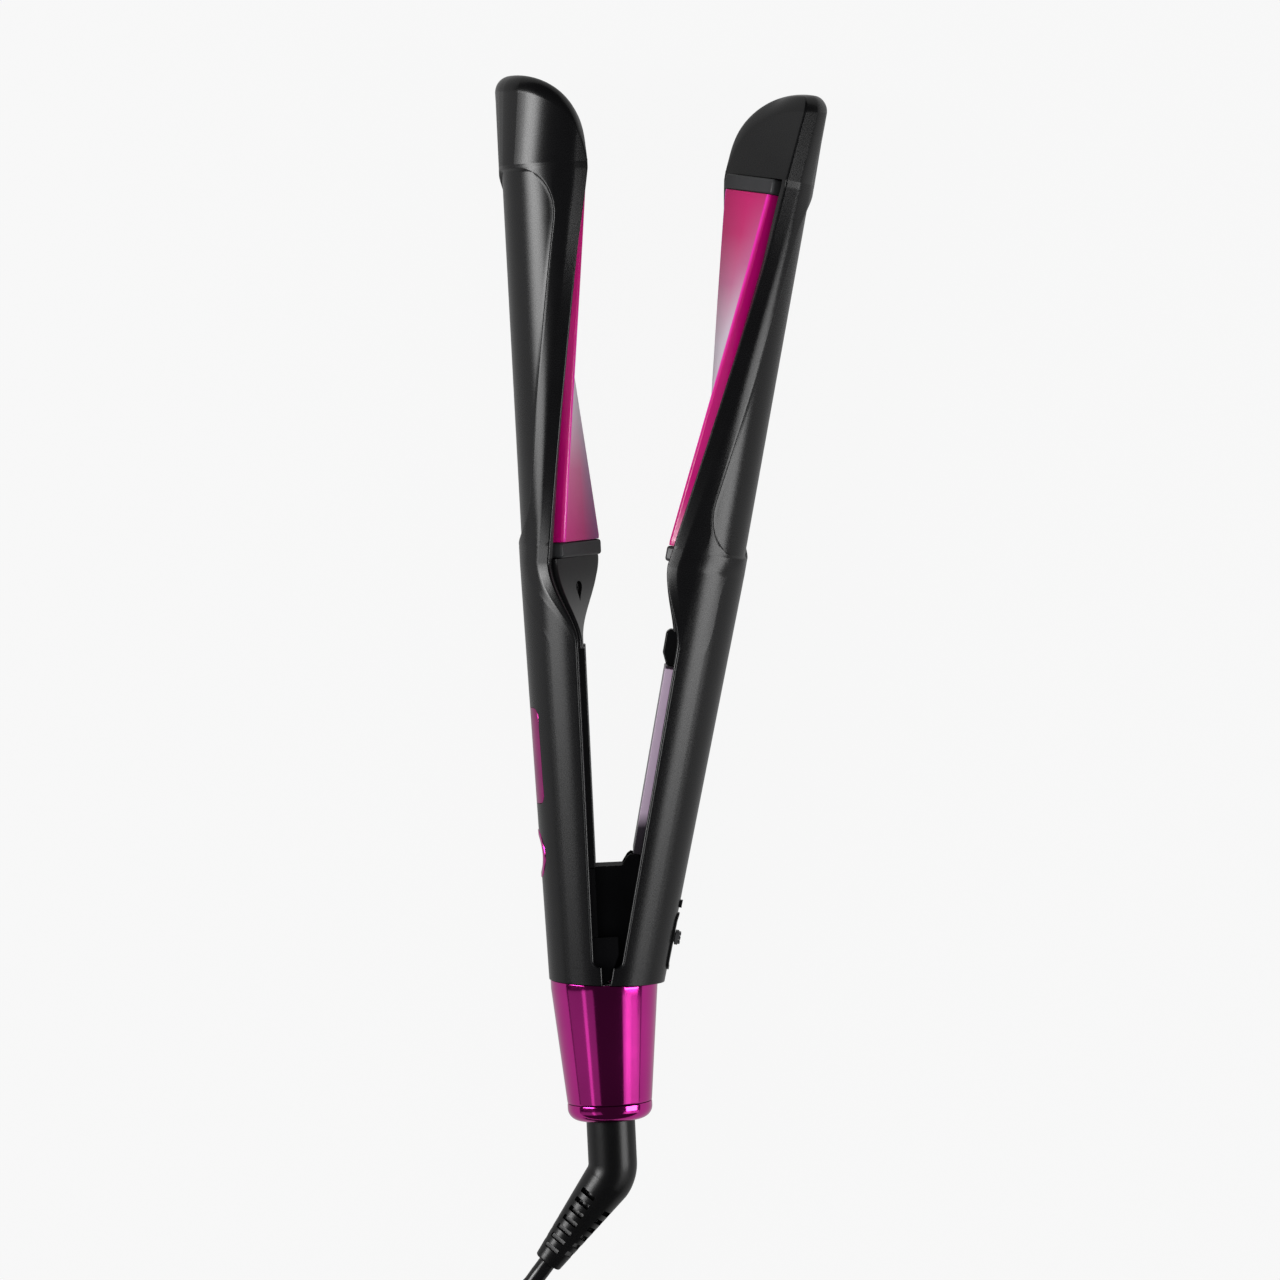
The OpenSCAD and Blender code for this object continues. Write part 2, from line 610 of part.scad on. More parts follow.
module throat_web() color(black) on_table() {
    entry = knob_s - stem_len / 2 - 0.4;
    lip_top = entry - 0.9;
    difference() {
        for (z = [-fin_low - fin_t, fin_low]) translate([0, 0, z]) linear_extrude(fin_t)
            polygon([[-1.5, throat_start + 1], [1, 7.4], [5.4, 7.4], [fin_reach - 0.7, 13],
                     [fin_reach, 15], [fin_reach + 0.2, web_top + 2.4], [9.2, web_top + 3.1],
                     [8.2, web_top + 2.4], [6.6, web_top], [-1.5, web_top]]);
        // the lock's tooth comes in from the side and slides down behind the lip
        translate([0, 0, -10]) linear_extrude(20) {
            translate([hook_near - 0.3, lip_top]) square([10, slot_high - lip_top]);
            translate([hook_near - 0.3, slot_low]) square([hook_far + 0.55 - hook_near, 10]);
        }
    }
    translate([-1.5, web_top - 2, -fin_low - 0.01]) cube([fin_reach + 1.7, 2, 2 * fin_low + 0.02]);
    translate([-3.4, 0, 0]) rotate([90, 0, 90]) linear_extrude(2.4) polygon([
        [throat_start + 1, -inner_chord(throat_start) + 0.9], [web_top, -inner_chord(web_top) + 0.9],
        [web_top, inner_chord(web_top) - 0.9], [throat_start + 1, inner_chord(throat_start) - 0.9]]);
    // tongues that close the wedge between the grips below the throat
    for (z = [-tongue_z - 1.2, tongue_z]) translate([0, 0, z]) linear_extrude(1.2)
        polygon([[-3.4, 7.6], [1.6, 7.6], [4.6, throat_start + 1], [4.6, throat_start + 6],
                 [-3.4, throat_start + 6]]);
}

ear_low = 7.6;         // distance of each fork ear from the middle plane
ear_t = 2.2;           // thickness of each fork ear
knuckle_r = 4.6;       // radius of the moving knuckle
knuckle_top = 1.2;     // upper end of the moving knuckle; the spring lies above it
link_half = 3.3;       // half thickness of the moving link

// Space inside the cone and the grips that the hinge parts keep within.
module hinge_room() turned([
    [0, -10], [cone_r - cone_wall - 1.3, -10], [cone_r - cone_wall - 0.5, arm_start],
    [barrel_r(arm_start) - shell_wall - fit, arm_start + 0.3], [barrel_r(34) - shell_wall - fit, 34], [0, 34]]);

module hinge_fork() color(steel) on_table() difference() {
    intersection() {
        union() {
            for (z = [-ear_low - ear_t, ear_low]) translate([0, 0, z]) linear_extrude(ear_t) {
                circle(5);
                polygon([[-4, -3], [-9.6, -3], [-9.6, 24], [-4.4, 24], [-4.4, 8], [3, 4]]);
            }
            translate([-9.8, -3, -ear_low - ear_t]) cube([2.2, 27, 2 * (ear_low + ear_t)]);
        }
        hinge_room();
    }
    cylinder(r = pin_r + 0.02, h = 60, center = true);
}

module hinge_pin() color(steel) on_table() cylinder(r = pin_r, h = 2 * (ear_low + ear_t), center = true);

module hinge_washers() color(steel) on_table() {
    difference() {
        translate([0, 0, knuckle_top + 0.1]) cylinder(r = 4.2, h = 0.4);
        cylinder(r = pin_r + pin_clear, h = 40, center = true);
    }
}

peg = [7.4, 7.6];      // peg on the link that the spring's leg pushes
peg_r = 0.8;
link_depth = 12.8;     // depth of the link's strap at its outer face
strap_t = 2.4;

module hinge_link() color(steel) moving() difference() {
    union() {
        translate([0, 0, -ear_low + 0.2]) cylinder(r = knuckle_r, h = ear_low - 0.2 + knuckle_top);
        translate([0, 0, -link_half]) linear_extrude(link_half + knuckle_top)
            polygon([[-2, 3.5], [3.2, -3], [9.5, 5.5], [link_depth, 11], [link_depth, 14.2],
                     [link_depth - strap_t, 14.2], [7, 9.5]]);
        translate([0, 0, -link_half]) linear_extrude(2 * link_half)
            polygon([[link_depth - strap_t, 14], [link_depth, 14], [link_depth, 33],
                     [link_depth - strap_t, 33]]);
        translate([peg.x, peg.y, 0]) cylinder(r = peg_r, h = knuckle_top + 2);
    }
    cylinder(r = pin_r + pin_clear, h = 60, center = true);
    translate([5, slot_low, -stem_w / 2 - fit]) cube([10, slot_high - slot_low, stem_w + 2 * fit]);
    translate([5, 30, 0]) rotate([0, 90, 0]) cylinder(r = 1.1, h = 20);
}

// Room in the shell's wall for the link's strap and the end of its screw.
module link_room() rotate([0, 180, 0]) {
    translate([5, 13.9, -link_half - seat]) cube([link_depth + seat - 5, 19.2, 2 * (link_half + seat)]);
    translate([5, 30, 0]) rotate([0, 90, 0]) cylinder(r = 1 + seat, h = link_depth + 0.5 + seat - 5);
}

// ---------- wound and swept tubes ----------

function dir_of(v) = v / norm(v);
// Tangent at point k of a route.
function route_dir(pts, k) = dir_of(pts[min(k + 1, len(pts) - 1)] - pts[max(k - 1, 0)]);
// A side vector square to a tangent, carried along from the one before so that the tube doesn't turn.
function carried(side, d) = dir_of(side - (side * d) * d);
function sides_from(pts, side, k) = k == len(pts) ? []
    : let (here = carried(side, route_dir(pts, k))) concat([here], sides_from(pts, here, k + 1));

module tube(pts, r, n, first_side) {
    sides = sides_from(pts, first_side, 0);
    points = [for (k = [0 : len(pts) - 1])
        let (d = route_dir(pts, k), a = sides[k], b = cross(d, a))
        each [for (i = [0 : n - 1]) pts[k] + r * (cos(360 * i / n) * a + sin(360 * i / n) * b)]];
    polyhedron(points, [for (f = concat(skin_sides(len(pts), n), fan_ends(len(pts), n))) [f[0], f[2], f[1]]]);
}

// Smooth course through chosen points, in equal numbers of steps.
function blend_at(a, b, c, d, t) = 0.5 * (2 * b + (c - a) * t + (2 * a - 5 * b + 4 * c - d) * t * t
    + (3 * b - a - 3 * c + d) * t * t * t);
function smooth(pts, steps) = let (n = len(pts) - 1) concat(
    [for (k = [0 : n - 1], j = [0 : steps - 1])
        blend_at(k == 0 ? 2 * pts[0] - pts[1] : pts[k - 1], pts[k], pts[k + 1],
                 k == n - 1 ? 2 * pts[n] - pts[n - 1] : pts[k + 2], j / steps)],
    [pts[n]]);

// Least gap of a wound tube to itself, past the turns next to each point.
function least_gap(pts, r, skip) = min([for (i = [0 : len(pts) - 1 - skip])
    min([for (j = [i + skip : len(pts) - 1]) norm(pts[i] - pts[j])])]) - 2 * r;
function run_length(pts) = let (steps = [for (k = [1 : len(pts) - 1]) norm(pts[k] - pts[k - 1])])
    steps * [for (s = steps) 1];

spring_r = 3.4;        // mean radius of the spring's turns
spring_wire = 0.45;    // radius of the spring's wire
spring_low = 2.2;
spring_high = 6.9;
spring_count = 24;     // rings in each turn of the spring
// The leg that pushes the peg, square off the turns, and the leg that rests on the fork.
peg_open = [peg.x * cos(open_angle) + peg.y * sin(open_angle),
            peg.y * cos(open_angle) - peg.x * sin(open_angle)];
leg_a = atan2(peg_open.y, peg_open.x) + asin((spring_r + spring_wire + peg_r + 0.1) / norm(peg_open));
leg_b = 122;
leg_a_len = 10.5;
leg_b_len = 7.6;
spring_sweep = leg_a - 90 - (leg_b + 90 - 360) + 3 * 360;
spring_points = let (rings = round(spring_sweep / 360 * spring_count), ra = leg_a - 90, rb = leg_b + 90)
    concat(
        [for (t = [1, 0.5, 0.15]) [spring_r * cos(ra) + t * leg_a_len * cos(leg_a),
                                   spring_r * sin(ra) + t * leg_a_len * sin(leg_a), spring_low]],
        [for (k = [0 : rings]) let (a = ra - spring_sweep * k / rings)
            [spring_r * cos(a), spring_r * sin(a), mix(spring_low, spring_high, k / rings)]],
        [for (t = [0.15, 0.5, 1]) [spring_r * cos(rb) + t * leg_b_len * cos(leg_b),
                                   spring_r * sin(rb) + t * leg_b_len * sin(leg_b), spring_high]]);
echo(spring_least_gap = least_gap(spring_points, spring_wire, 18));

module opening_spring() color(steel) on_table() tube(spring_points, spring_wire, 6, [0, 0, 1]);

// ---------- tail ----------

module tail_cone() color(magenta) on_table() intersection() {
    turned([[cone_r - cone_wall, mouth_s + 3], [cone_r, mouth_s + 3], [cone_r, arm_start],
        [cone_end_r, -cone_drop + 0.2], [cone_end_r - 0.2, -cone_drop],
        [cone_end_r - cone_wall, -cone_drop], [cone_r - cone_wall, arm_start]]);
    below_mouth(0);
}

ring_seat = cone_end_r - cone_wall - seat;   // radius of the end ring's spigot inside the cone
module tail_ring() color(magenta) on_table() turned(concat(
    [[stem_r + stem_clear, -cone_drop - 0.2], [stem_r + stem_clear, -cone_drop - ring_len]],
    arc(cone_end_r - ring_round, -cone_drop - ring_len + ring_round, ring_round, 270, 360, 7),
    [[cone_end_r, -cone_drop - 0.3], [cone_end_r - 0.2, -cone_drop - 0.1],
     [ring_seat, -cone_drop - 0.1], [ring_seat, -cone_drop + 2.6],
     [ring_seat - 1.2, -cone_drop + 2.6], [ring_seat - 1.2, -cone_drop - 0.2]]));

flange_r = ring_seat - 1.2 - fit;
module swivel_retainer() color(black) on_table() turned([
    [4.4, -cone_drop + 2.7], [ring_seat, -cone_drop + 2.7],
    [ring_seat, -cone_drop + 4.4], [4.4, -cone_drop + 4.4]]);

// ---------- grip fittings ----------

window_mid = window_start + window_len / 2;
module display_window() color([0.45, 0.06, 0.40]) on_table() intersection() {
    barrel_skin(window_start - 1, window_start + window_len + 1, 0, window_t);
    plunge(8, 30, window_mid, window_len, window_w, window_round);
}

board_depth = 8;       // depth of the circuit board's face on the split side
module circuit_board() color([0.05, 0.25, 0.12]) on_table()
    plunge(board_depth, board_depth + board_t, mix(web_top + 1, board_end, 0.5), board_end - web_top - 1,
           2 * (sqrt(pow(barrel_r(web_top) - shell_wall, 2) - pow(board_depth + board_t, 2)) - fit), 1);

module display_module() color(grey) on_table()
    plunge(board_depth + board_t, board_depth + board_t + 3, window_mid, window_len - 3, window_w - 2.4, 0.6);

button_face = barrel_r(button_s) - 1.15;     // depth of the power button's rim
switch_depth = button_face - 4.4;            // depth of the switch's cap
module power_switch() color(grey) on_table() {
    plunge(board_depth + board_t, switch_depth - 0.4, button_s, 6, 6, 0.5);
    stud(switch_depth - 0.4, switch_depth, button_s, 0, 1.6);
}

module button_ring() color(magenta) on_table() difference() {
    intersection() {
        stud(button_face - 2.2, 30, button_s, 0, button_ring_r);
        barrel_skin(button_s - 10, button_s + 10, -0.1, 6);
    }
    stud(0, 30, button_s, 0, button_r + 0.2);
}

// Dished cap with a flange that the ring holds in.
module power_button() color(magenta) on_table() translate([0, button_s, 0]) rotate([0, -90, 0])
    rotate_extrude() polygon(concat(
        [[0, switch_depth + button_travel + 0.2], [button_ring_r - 0.3, switch_depth + button_travel + 0.2],
         [button_ring_r - 0.3, button_face - 2.4], [button_r, button_face - 2.4],
         [button_r, button_face - 0.2], [button_r - 0.2, button_face]],
        [for (k = [1 : 6]) let (t = 1 - k / 6)
            [(button_r - 0.5) * t, button_face - 0.05 - 0.55 * (1 - t * t)]]));

module fixed_screws() color(steel) on_table() {
    rotate([0, -shell_twist(neck_screw_s), 0]) stud(neck_face + 0.7, neck_face + 1.3, neck_screw_s, 0, 1.7);
}

// ---------- moving arm's fittings ----------

module lock_track() color(black) moving_arm() difference() {
    intersection() {
        barrel_skin(track_start - 1, track_start + track_len + 1, track_out, track_t);
        plunge(10, 30, track_start + track_len / 2, track_len, track_w, 3);
    }
    plunge(barrel_r(track_start) + track_out - 0.7, 30, track_start + track_len / 2,
           track_len - 2, track_w - 2, 2);
    plunge(8, 30, (slot_low + slot_high) / 2, slot_high - slot_low, stem_w + 0.6, 0.5);
}

knob_base = barrel_r(track_start + track_len) + track_out - 0.2;
knob_top = barrel_r(knob_s) + knob_h;
module lock_knob() color(grey) moving_arm() {
    plunge(knob_base, knob_top - 0.6, knob_s, knob_len, track_w - 2.6, 0.9);
    for (k = [-1 : 1])
        plunge(knob_top - 0.7, knob_top, knob_s + k * knob_len / 3.2, knob_len / 5, track_w - 3.4, 0.3);
}

// Stem and tooth of the lock: the tooth goes behind the throat web's lips.
module lock_hook() color(steel) moving_arm() {
    plunge(hook_near, knob_base, knob_s, stem_len, stem_w, 0.4);
    plunge(hook_near, hook_far, knob_s, stem_len, 2 * (fin_low + fin_t) - 0.6, 0.4);
}

module moving_screws() color(steel) moving() {
    translate([link_depth - strap_t - 0.6, 30, 0]) rotate([0, 90, 0]) cylinder(r = 1.9, h = 0.6);
    translate([link_depth - strap_t, 30, 0]) rotate([0, 90, 0]) cylinder(r = 1, h = strap_t + 0.5);
    rotate([0, 180, 0]) rotate([0, -shell_twist(neck_screw_s), 0])
        stud(neck_face + 0.7, neck_face + 1.3, neck_screw_s, 0, 1.7);
}

// ---------- strain relief ----------

boot_drop = cone_drop + ring_len + 12.5;     // where the strain relief starts to bend
boot_knee = [-boot_bend_r * (1 - cos(boot_bend)), -boot_drop - boot_bend_r * sin(boot_bend)];
boot_way = [-sin(boot_bend), -cos(boot_bend)];
boot_tip = boot_knee + boot_len * boot_way;
core_r = cord_d / 2 + 0.7;
slot_len = 1.5;
slot_w = 5;            // width of each slot
// Rows of slots: their number, the place of the first, and their turn about the strain relief.
slot_rows = [[7, 4.4, 117], [6, 6.3, 27], [7, 4.4, 297], [6, 6.3, 207]];

module boot_slots() for (row = slot_rows, k = [0 : row[0] - 1])
    rotate([0, 0, row[2]]) translate([core_r + 0.5, -slot_w / 2, row[1] + k * slot_pitch])
        cube([8, slot_w, slot_len]);

module cord_boot() color(black) on_table() {
    lap = 1;           // the bend starts this many degrees inside the straight pieces
    knee_r = stem_r - 0.06;
    turned([[0, -cone_drop + 2.4], [flange_r, -cone_drop + 2.4], [flange_r, -cone_drop + 0.1],
            [stem_r, -cone_drop + 0.1], [stem_r, -boot_drop], [0, -boot_drop]]);
    translate([-boot_bend_r, -boot_drop, 0]) rotate([0, 0, -boot_bend - lap])
        rotate_extrude(angle = boot_bend + 2 * lap) translate([boot_bend_r, 0]) circle(knee_r);
    translate([boot_knee.x, boot_knee.y, 0]) rotate([0, 0, -boot_bend]) rotate([90, 0, 0]) {
        difference() {
            cylinder(r1 = stem_r, r2 = boot_end_r, h = boot_len);
            boot_slots();
        }
        cylinder(r1 = core_r + 1, r2 = core_r, h = boot_len);
    }
}

// ---------- cord, coil and plug ----------

cord_r = cord_d / 2;
coil_c = [-62, -242];  // middle of the coil on the table
coil_out = 40;         // radius of the coil's outer turns
coil_step = 5.7;       // spacing of the coil's turns
coil_rise = 5.6;       // height of the second layer over the first
coil_dip = 1.6;        // how far the climb between the layers keeps inside the last turn
coil_rings = 24;       // rings in each turn

// The cord's route on the table, from the strain relief to the coil and from the coil to the plug.
// Each stretch starts and ends with a short straight lead, square to what it meets.
cord_start = [boot_tip.x, boot_tip.y, 0] + place;
cord_lead = cord_start + 3 * [boot_way.x, boot_way.y, 0];
cord_route = [[-54, -195, 18], [-62, -197.5, 16.5], [-72, -198.6, 13], [-82, -201, 8.5],
              [-91.5, -206.5, 5], [-99, -215, 3], [-102, -226, 2.5]];
tail_route = [[-102, -256, 7.8], [-100, -274, 7], [-92, -290, 7], [-78, -300, 7]];
plug_start = [-62, -302, 7];
coil_lead = [0, -cord_d, 0];
coil_start = [coil_c.x - coil_out, coil_c.y, cord_r] - coil_lead;
coil_end = [coil_c.x - coil_out, coil_c.y, cord_r + coil_rise] + coil_lead;
run_points = concat([cord_start],
    smooth(concat([cord_lead], cord_route, [coil_start - 0.5 * coil_lead]), 2), [coil_start]);
tail_points = concat([coil_end],
    smooth(concat([coil_end + 0.5 * coil_lead], tail_route, [plug_start - [4, 0, 0]]), 2), [plug_start]);

// Turns wind in on the table, climb a layer in a half turn, and wind out again on top.
coil_sweep = 2 * coil_turns;
function coil_radius(t) = let (half = coil_turns - 0.25, inner = coil_out - coil_step * half)
    t < half ? coil_out - coil_step * t
    : t > half + 0.5 ? coil_out - coil_step * (coil_sweep - t)
    : inner - coil_dip * sin(360 * (t - half));
function coil_height(t) = cord_r + coil_rise * ease((t - coil_turns + 0.25) / 0.5);
coil_points = concat([coil_start],
    [for (k = [0 : coil_sweep * coil_rings])
        let (t = k / coil_rings, a = 180 + 360 * t, r = coil_radius(t))
        [coil_c.x + r * cos(a), coil_c.y + r * sin(a), coil_height(t)]],
    [coil_end]);
echo(coil_least_gap = least_gap(coil_points, cord_r, 12), coil_length = run_length(coil_points),
     run_length = run_length(run_points), tail_length = run_length(tail_points));

module cord_run() color(black) tube(run_points, cord_r, 8, [0, 0, 1]);
module cord_coil() color(black) tube(coil_points, cord_r, 6, [0, 0, 1]);
module plug_tail() color(black) tube(tail_points, cord_r, 8, [0, 0, 1]);

// ---------- plug ----------

relief_len = 16;       // length of the plug's strain relief
plug_len = 30;         // length of the plug's body
plug_w = 35.3;         // width of the plug's body
plug_h = 13.7;         // height of the plug's body
pin_gap = 18.6;        // spacing of the plug's pins
pin_len = 19;          // length of the plug's pins
plug_pin_r = 2;        // radius of the plug's pins
plug_mid = [plug_start.x, plug_start.y, plug_h / 2];

module plug_relief() color(black) translate([plug_start.x, plug_start.y, plug_start.z])
    rotate([0, 90, 0]) {
        cylinder(r1 = cord_r + 1, r2 = cord_r + 2.2, h = relief_len);
        for (k = [0 : 3]) translate([0, 0, 2 + 3.6 * k]) cylinder(r = cord_r + 2.3 + 0.15 * k, h = 1.8);
    }

// Flat body that widens from the cord to the pins, with sloping shoulders.
module plug_body() color(black) intersection() {
    translate([plug_mid.x + relief_len, plug_mid.y, 0]) linear_extrude(plug_h) polygon([
        [0, -7], [7, -plug_w / 2 + 1.5], [plug_len, -plug_w / 2], [plug_len, plug_w / 2],
        [7, plug_w / 2 - 1.5], [0, 7]]);
    translate([plug_mid.x + relief_len, plug_mid.y, plug_mid.z]) rotate([90, 0, 90])
        linear_extrude(plug_len) polygon([
            [-plug_w / 2, 0], [-plug_w / 2 + 5, -plug_h / 2], [plug_w / 2 - 5, -plug_h / 2],
            [plug_w / 2, 0], [plug_w / 2 - 5, plug_h / 2], [-plug_w / 2 + 5, plug_h / 2]]);
}

module plug_pins() color(steel) for (y = [-1, 1])
    translate([plug_mid.x + relief_len + plug_len, plug_mid.y + y * pin_gap / 2, plug_mid.z])
        rotate([0, 90, 0]) {
            cylinder(r = plug_pin_r, h = pin_len - 1);
            translate([0, 0, pin_len - 1]) cylinder(r1 = plug_pin_r, r2 = plug_pin_r - 0.8, h = 1);
        }

// ---------- build list ----------

fixed_shell();
fixed_plate();
fixed_carrier();
fixed_bar_low();
fixed_bar_top();
fixed_heater();
fixed_clamp();
fixed_neck_cover();
fixed_cover();
throat_web();
display_window();
display_module();
circuit_board();
power_switch();
button_ring();
power_button();
hinge_fork();
hinge_pin();
hinge_washers();
opening_spring();
tail_cone();
tail_ring();
swivel_retainer();
fixed_screws();
moving_shell();
moving_plate();
moving_carrier();
moving_bar_low();
moving_bar_top();
moving_heater();
moving_clamp();
moving_neck_cover();
moving_cover();
alignment_post();
hinge_link();
lock_track();
moving_screws();
lock_knob();
lock_hook();
cord_boot();
cord_run();
cord_coil();
plug_tail();
plug_relief();
plug_body();
plug_pins();
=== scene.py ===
"""Dresses the twisted-plate hair styling iron: arms, plates, controls, tail, cord and studio.

Sizes are in millimetres. An arm is drawn along +Y from the hinge pin, with its split face at x = 0
and its back towards -X, and +Z up. Both arms are drawn as the fixed one; the moving one is turned
half round the arm's own line and swung open. A pose matrix carries every piece into the frame.
"""
import json
import logging
import math
from collections.abc import Callable, Iterable, Sequence
from dataclasses import dataclass
from enum import Enum

import bmesh
import bpy
from mathutils import Matrix, Vector


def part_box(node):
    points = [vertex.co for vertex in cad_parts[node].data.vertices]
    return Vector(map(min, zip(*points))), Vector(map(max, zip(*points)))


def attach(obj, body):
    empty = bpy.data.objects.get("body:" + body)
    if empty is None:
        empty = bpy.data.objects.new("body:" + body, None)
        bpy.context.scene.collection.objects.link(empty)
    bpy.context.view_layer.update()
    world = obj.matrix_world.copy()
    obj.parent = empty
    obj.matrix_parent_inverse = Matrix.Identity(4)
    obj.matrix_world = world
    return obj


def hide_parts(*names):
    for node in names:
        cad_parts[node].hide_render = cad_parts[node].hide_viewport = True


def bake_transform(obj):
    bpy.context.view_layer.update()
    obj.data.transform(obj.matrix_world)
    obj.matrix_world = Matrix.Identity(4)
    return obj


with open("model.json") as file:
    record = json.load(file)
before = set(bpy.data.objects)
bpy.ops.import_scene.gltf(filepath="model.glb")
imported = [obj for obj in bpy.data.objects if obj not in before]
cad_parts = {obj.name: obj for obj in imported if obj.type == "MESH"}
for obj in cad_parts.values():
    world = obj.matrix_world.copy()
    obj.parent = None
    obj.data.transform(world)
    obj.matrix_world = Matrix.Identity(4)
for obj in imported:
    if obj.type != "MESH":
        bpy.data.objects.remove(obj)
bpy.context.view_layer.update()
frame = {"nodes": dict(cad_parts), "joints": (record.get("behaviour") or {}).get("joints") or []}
LOG = logging.getLogger("iron")
MM = 0.001
Point = tuple[float, float]
Triple = tuple[float, float, float]     # a colour, or values along X, Y and Z


def mix(a: float, b: float, t: float) -> float:
    """Value a share t of the way from a to b."""
    return a + (b - a) * t


def unit(t: float) -> float:
    """t held between 0 and 1."""
    return max(0.0, min(1.0, t))


def ease(t: float) -> float:
    """Smooth step from 0 to 1."""
    c = unit(t)
    return c * c * (3 - 2 * c)


def spread(a: float, b: float, count: int) -> list[float]:
    """count + 1 values from a to b, evenly spaced."""
    return [mix(a, b, k / count) for k in range(count + 1)]


def arc(cx: float, cy: float, r: float, start: float, end: float, count: int) -> list[Point]:
    """Points of a round stretch, with its angles in degrees."""
    return [(cx + r * math.cos(math.radians(a)), cy + r * math.sin(math.radians(a)))
            for a in spread(start, end, count)]


def joint(name: str) -> dict:
    """The record's joint of that name."""
    return next(j for j in frame["joints"] if j["name"] == name)


HINGE = Vector(joint("arm_hinge")["pos_m"])
OPEN_ANGLE = math.radians(joint("arm_hinge")["range_deg"][1])


class Side(Enum):
    """The two arms, which are also two bodies."""

    FIXED = "fixed"
    MOVING = "moving"

    @property
    def pose(self) -> Matrix:
        """Carries a piece drawn on the fixed arm, in millimetres, to its place on this arm."""
        turn = Matrix.Identity(4)
        if self is Side.MOVING:
            turn = Matrix.Rotation(-OPEN_ANGLE, 4, "Z") @ Matrix.Rotation(math.pi, 4, "Y")
        return Matrix.Translation(HINGE) @ turn @ Matrix.Scale(MM, 4)


IRON_POSE = Side.FIXED.pose
TABLE_POSE = Matrix.Scale(MM, 4)


# ---------- finishes ----------


def calculate(tree: bpy.types.NodeTree, operation: str, *values: object) -> bpy.types.NodeSocket:
    """Adds a node that calculates.

    Args:
        tree: where the node goes.
        operation: what it calculates, by its name in the node.
        values: its inputs in order, each a socket or a number.

    Returns:
        The socket of its result.
    """
    made = tree.nodes.new("ShaderNodeMath")
    made.operation = operation
    for value, socket in zip(values, made.inputs):
        if isinstance(value, bpy.types.NodeSocket):
            tree.links.new(value, socket)
        else:
            socket.default_value = value
    return made.outputs[0]


def seen_share(tree: bpy.types.NodeTree, mirrored: float) -> bpy.types.NodeSocket:
    """Tells what is seen from what only gives light.

    Args:
        tree: where the nodes go.
        mirrored: the value in reflections.

    Returns:
        A socket that is 1 for the camera and through glass, and 0 where light only falls.
    """
    path = tree.nodes.new("ShaderNodeLightPath").outputs
    seen = calculate(tree, "ADD", path["Is Camera Ray"], path["Is Transmission Ray"])
    return calculate(tree, "MULTIPLY_ADD", path["Is Glossy Ray"], mirrored, seen)


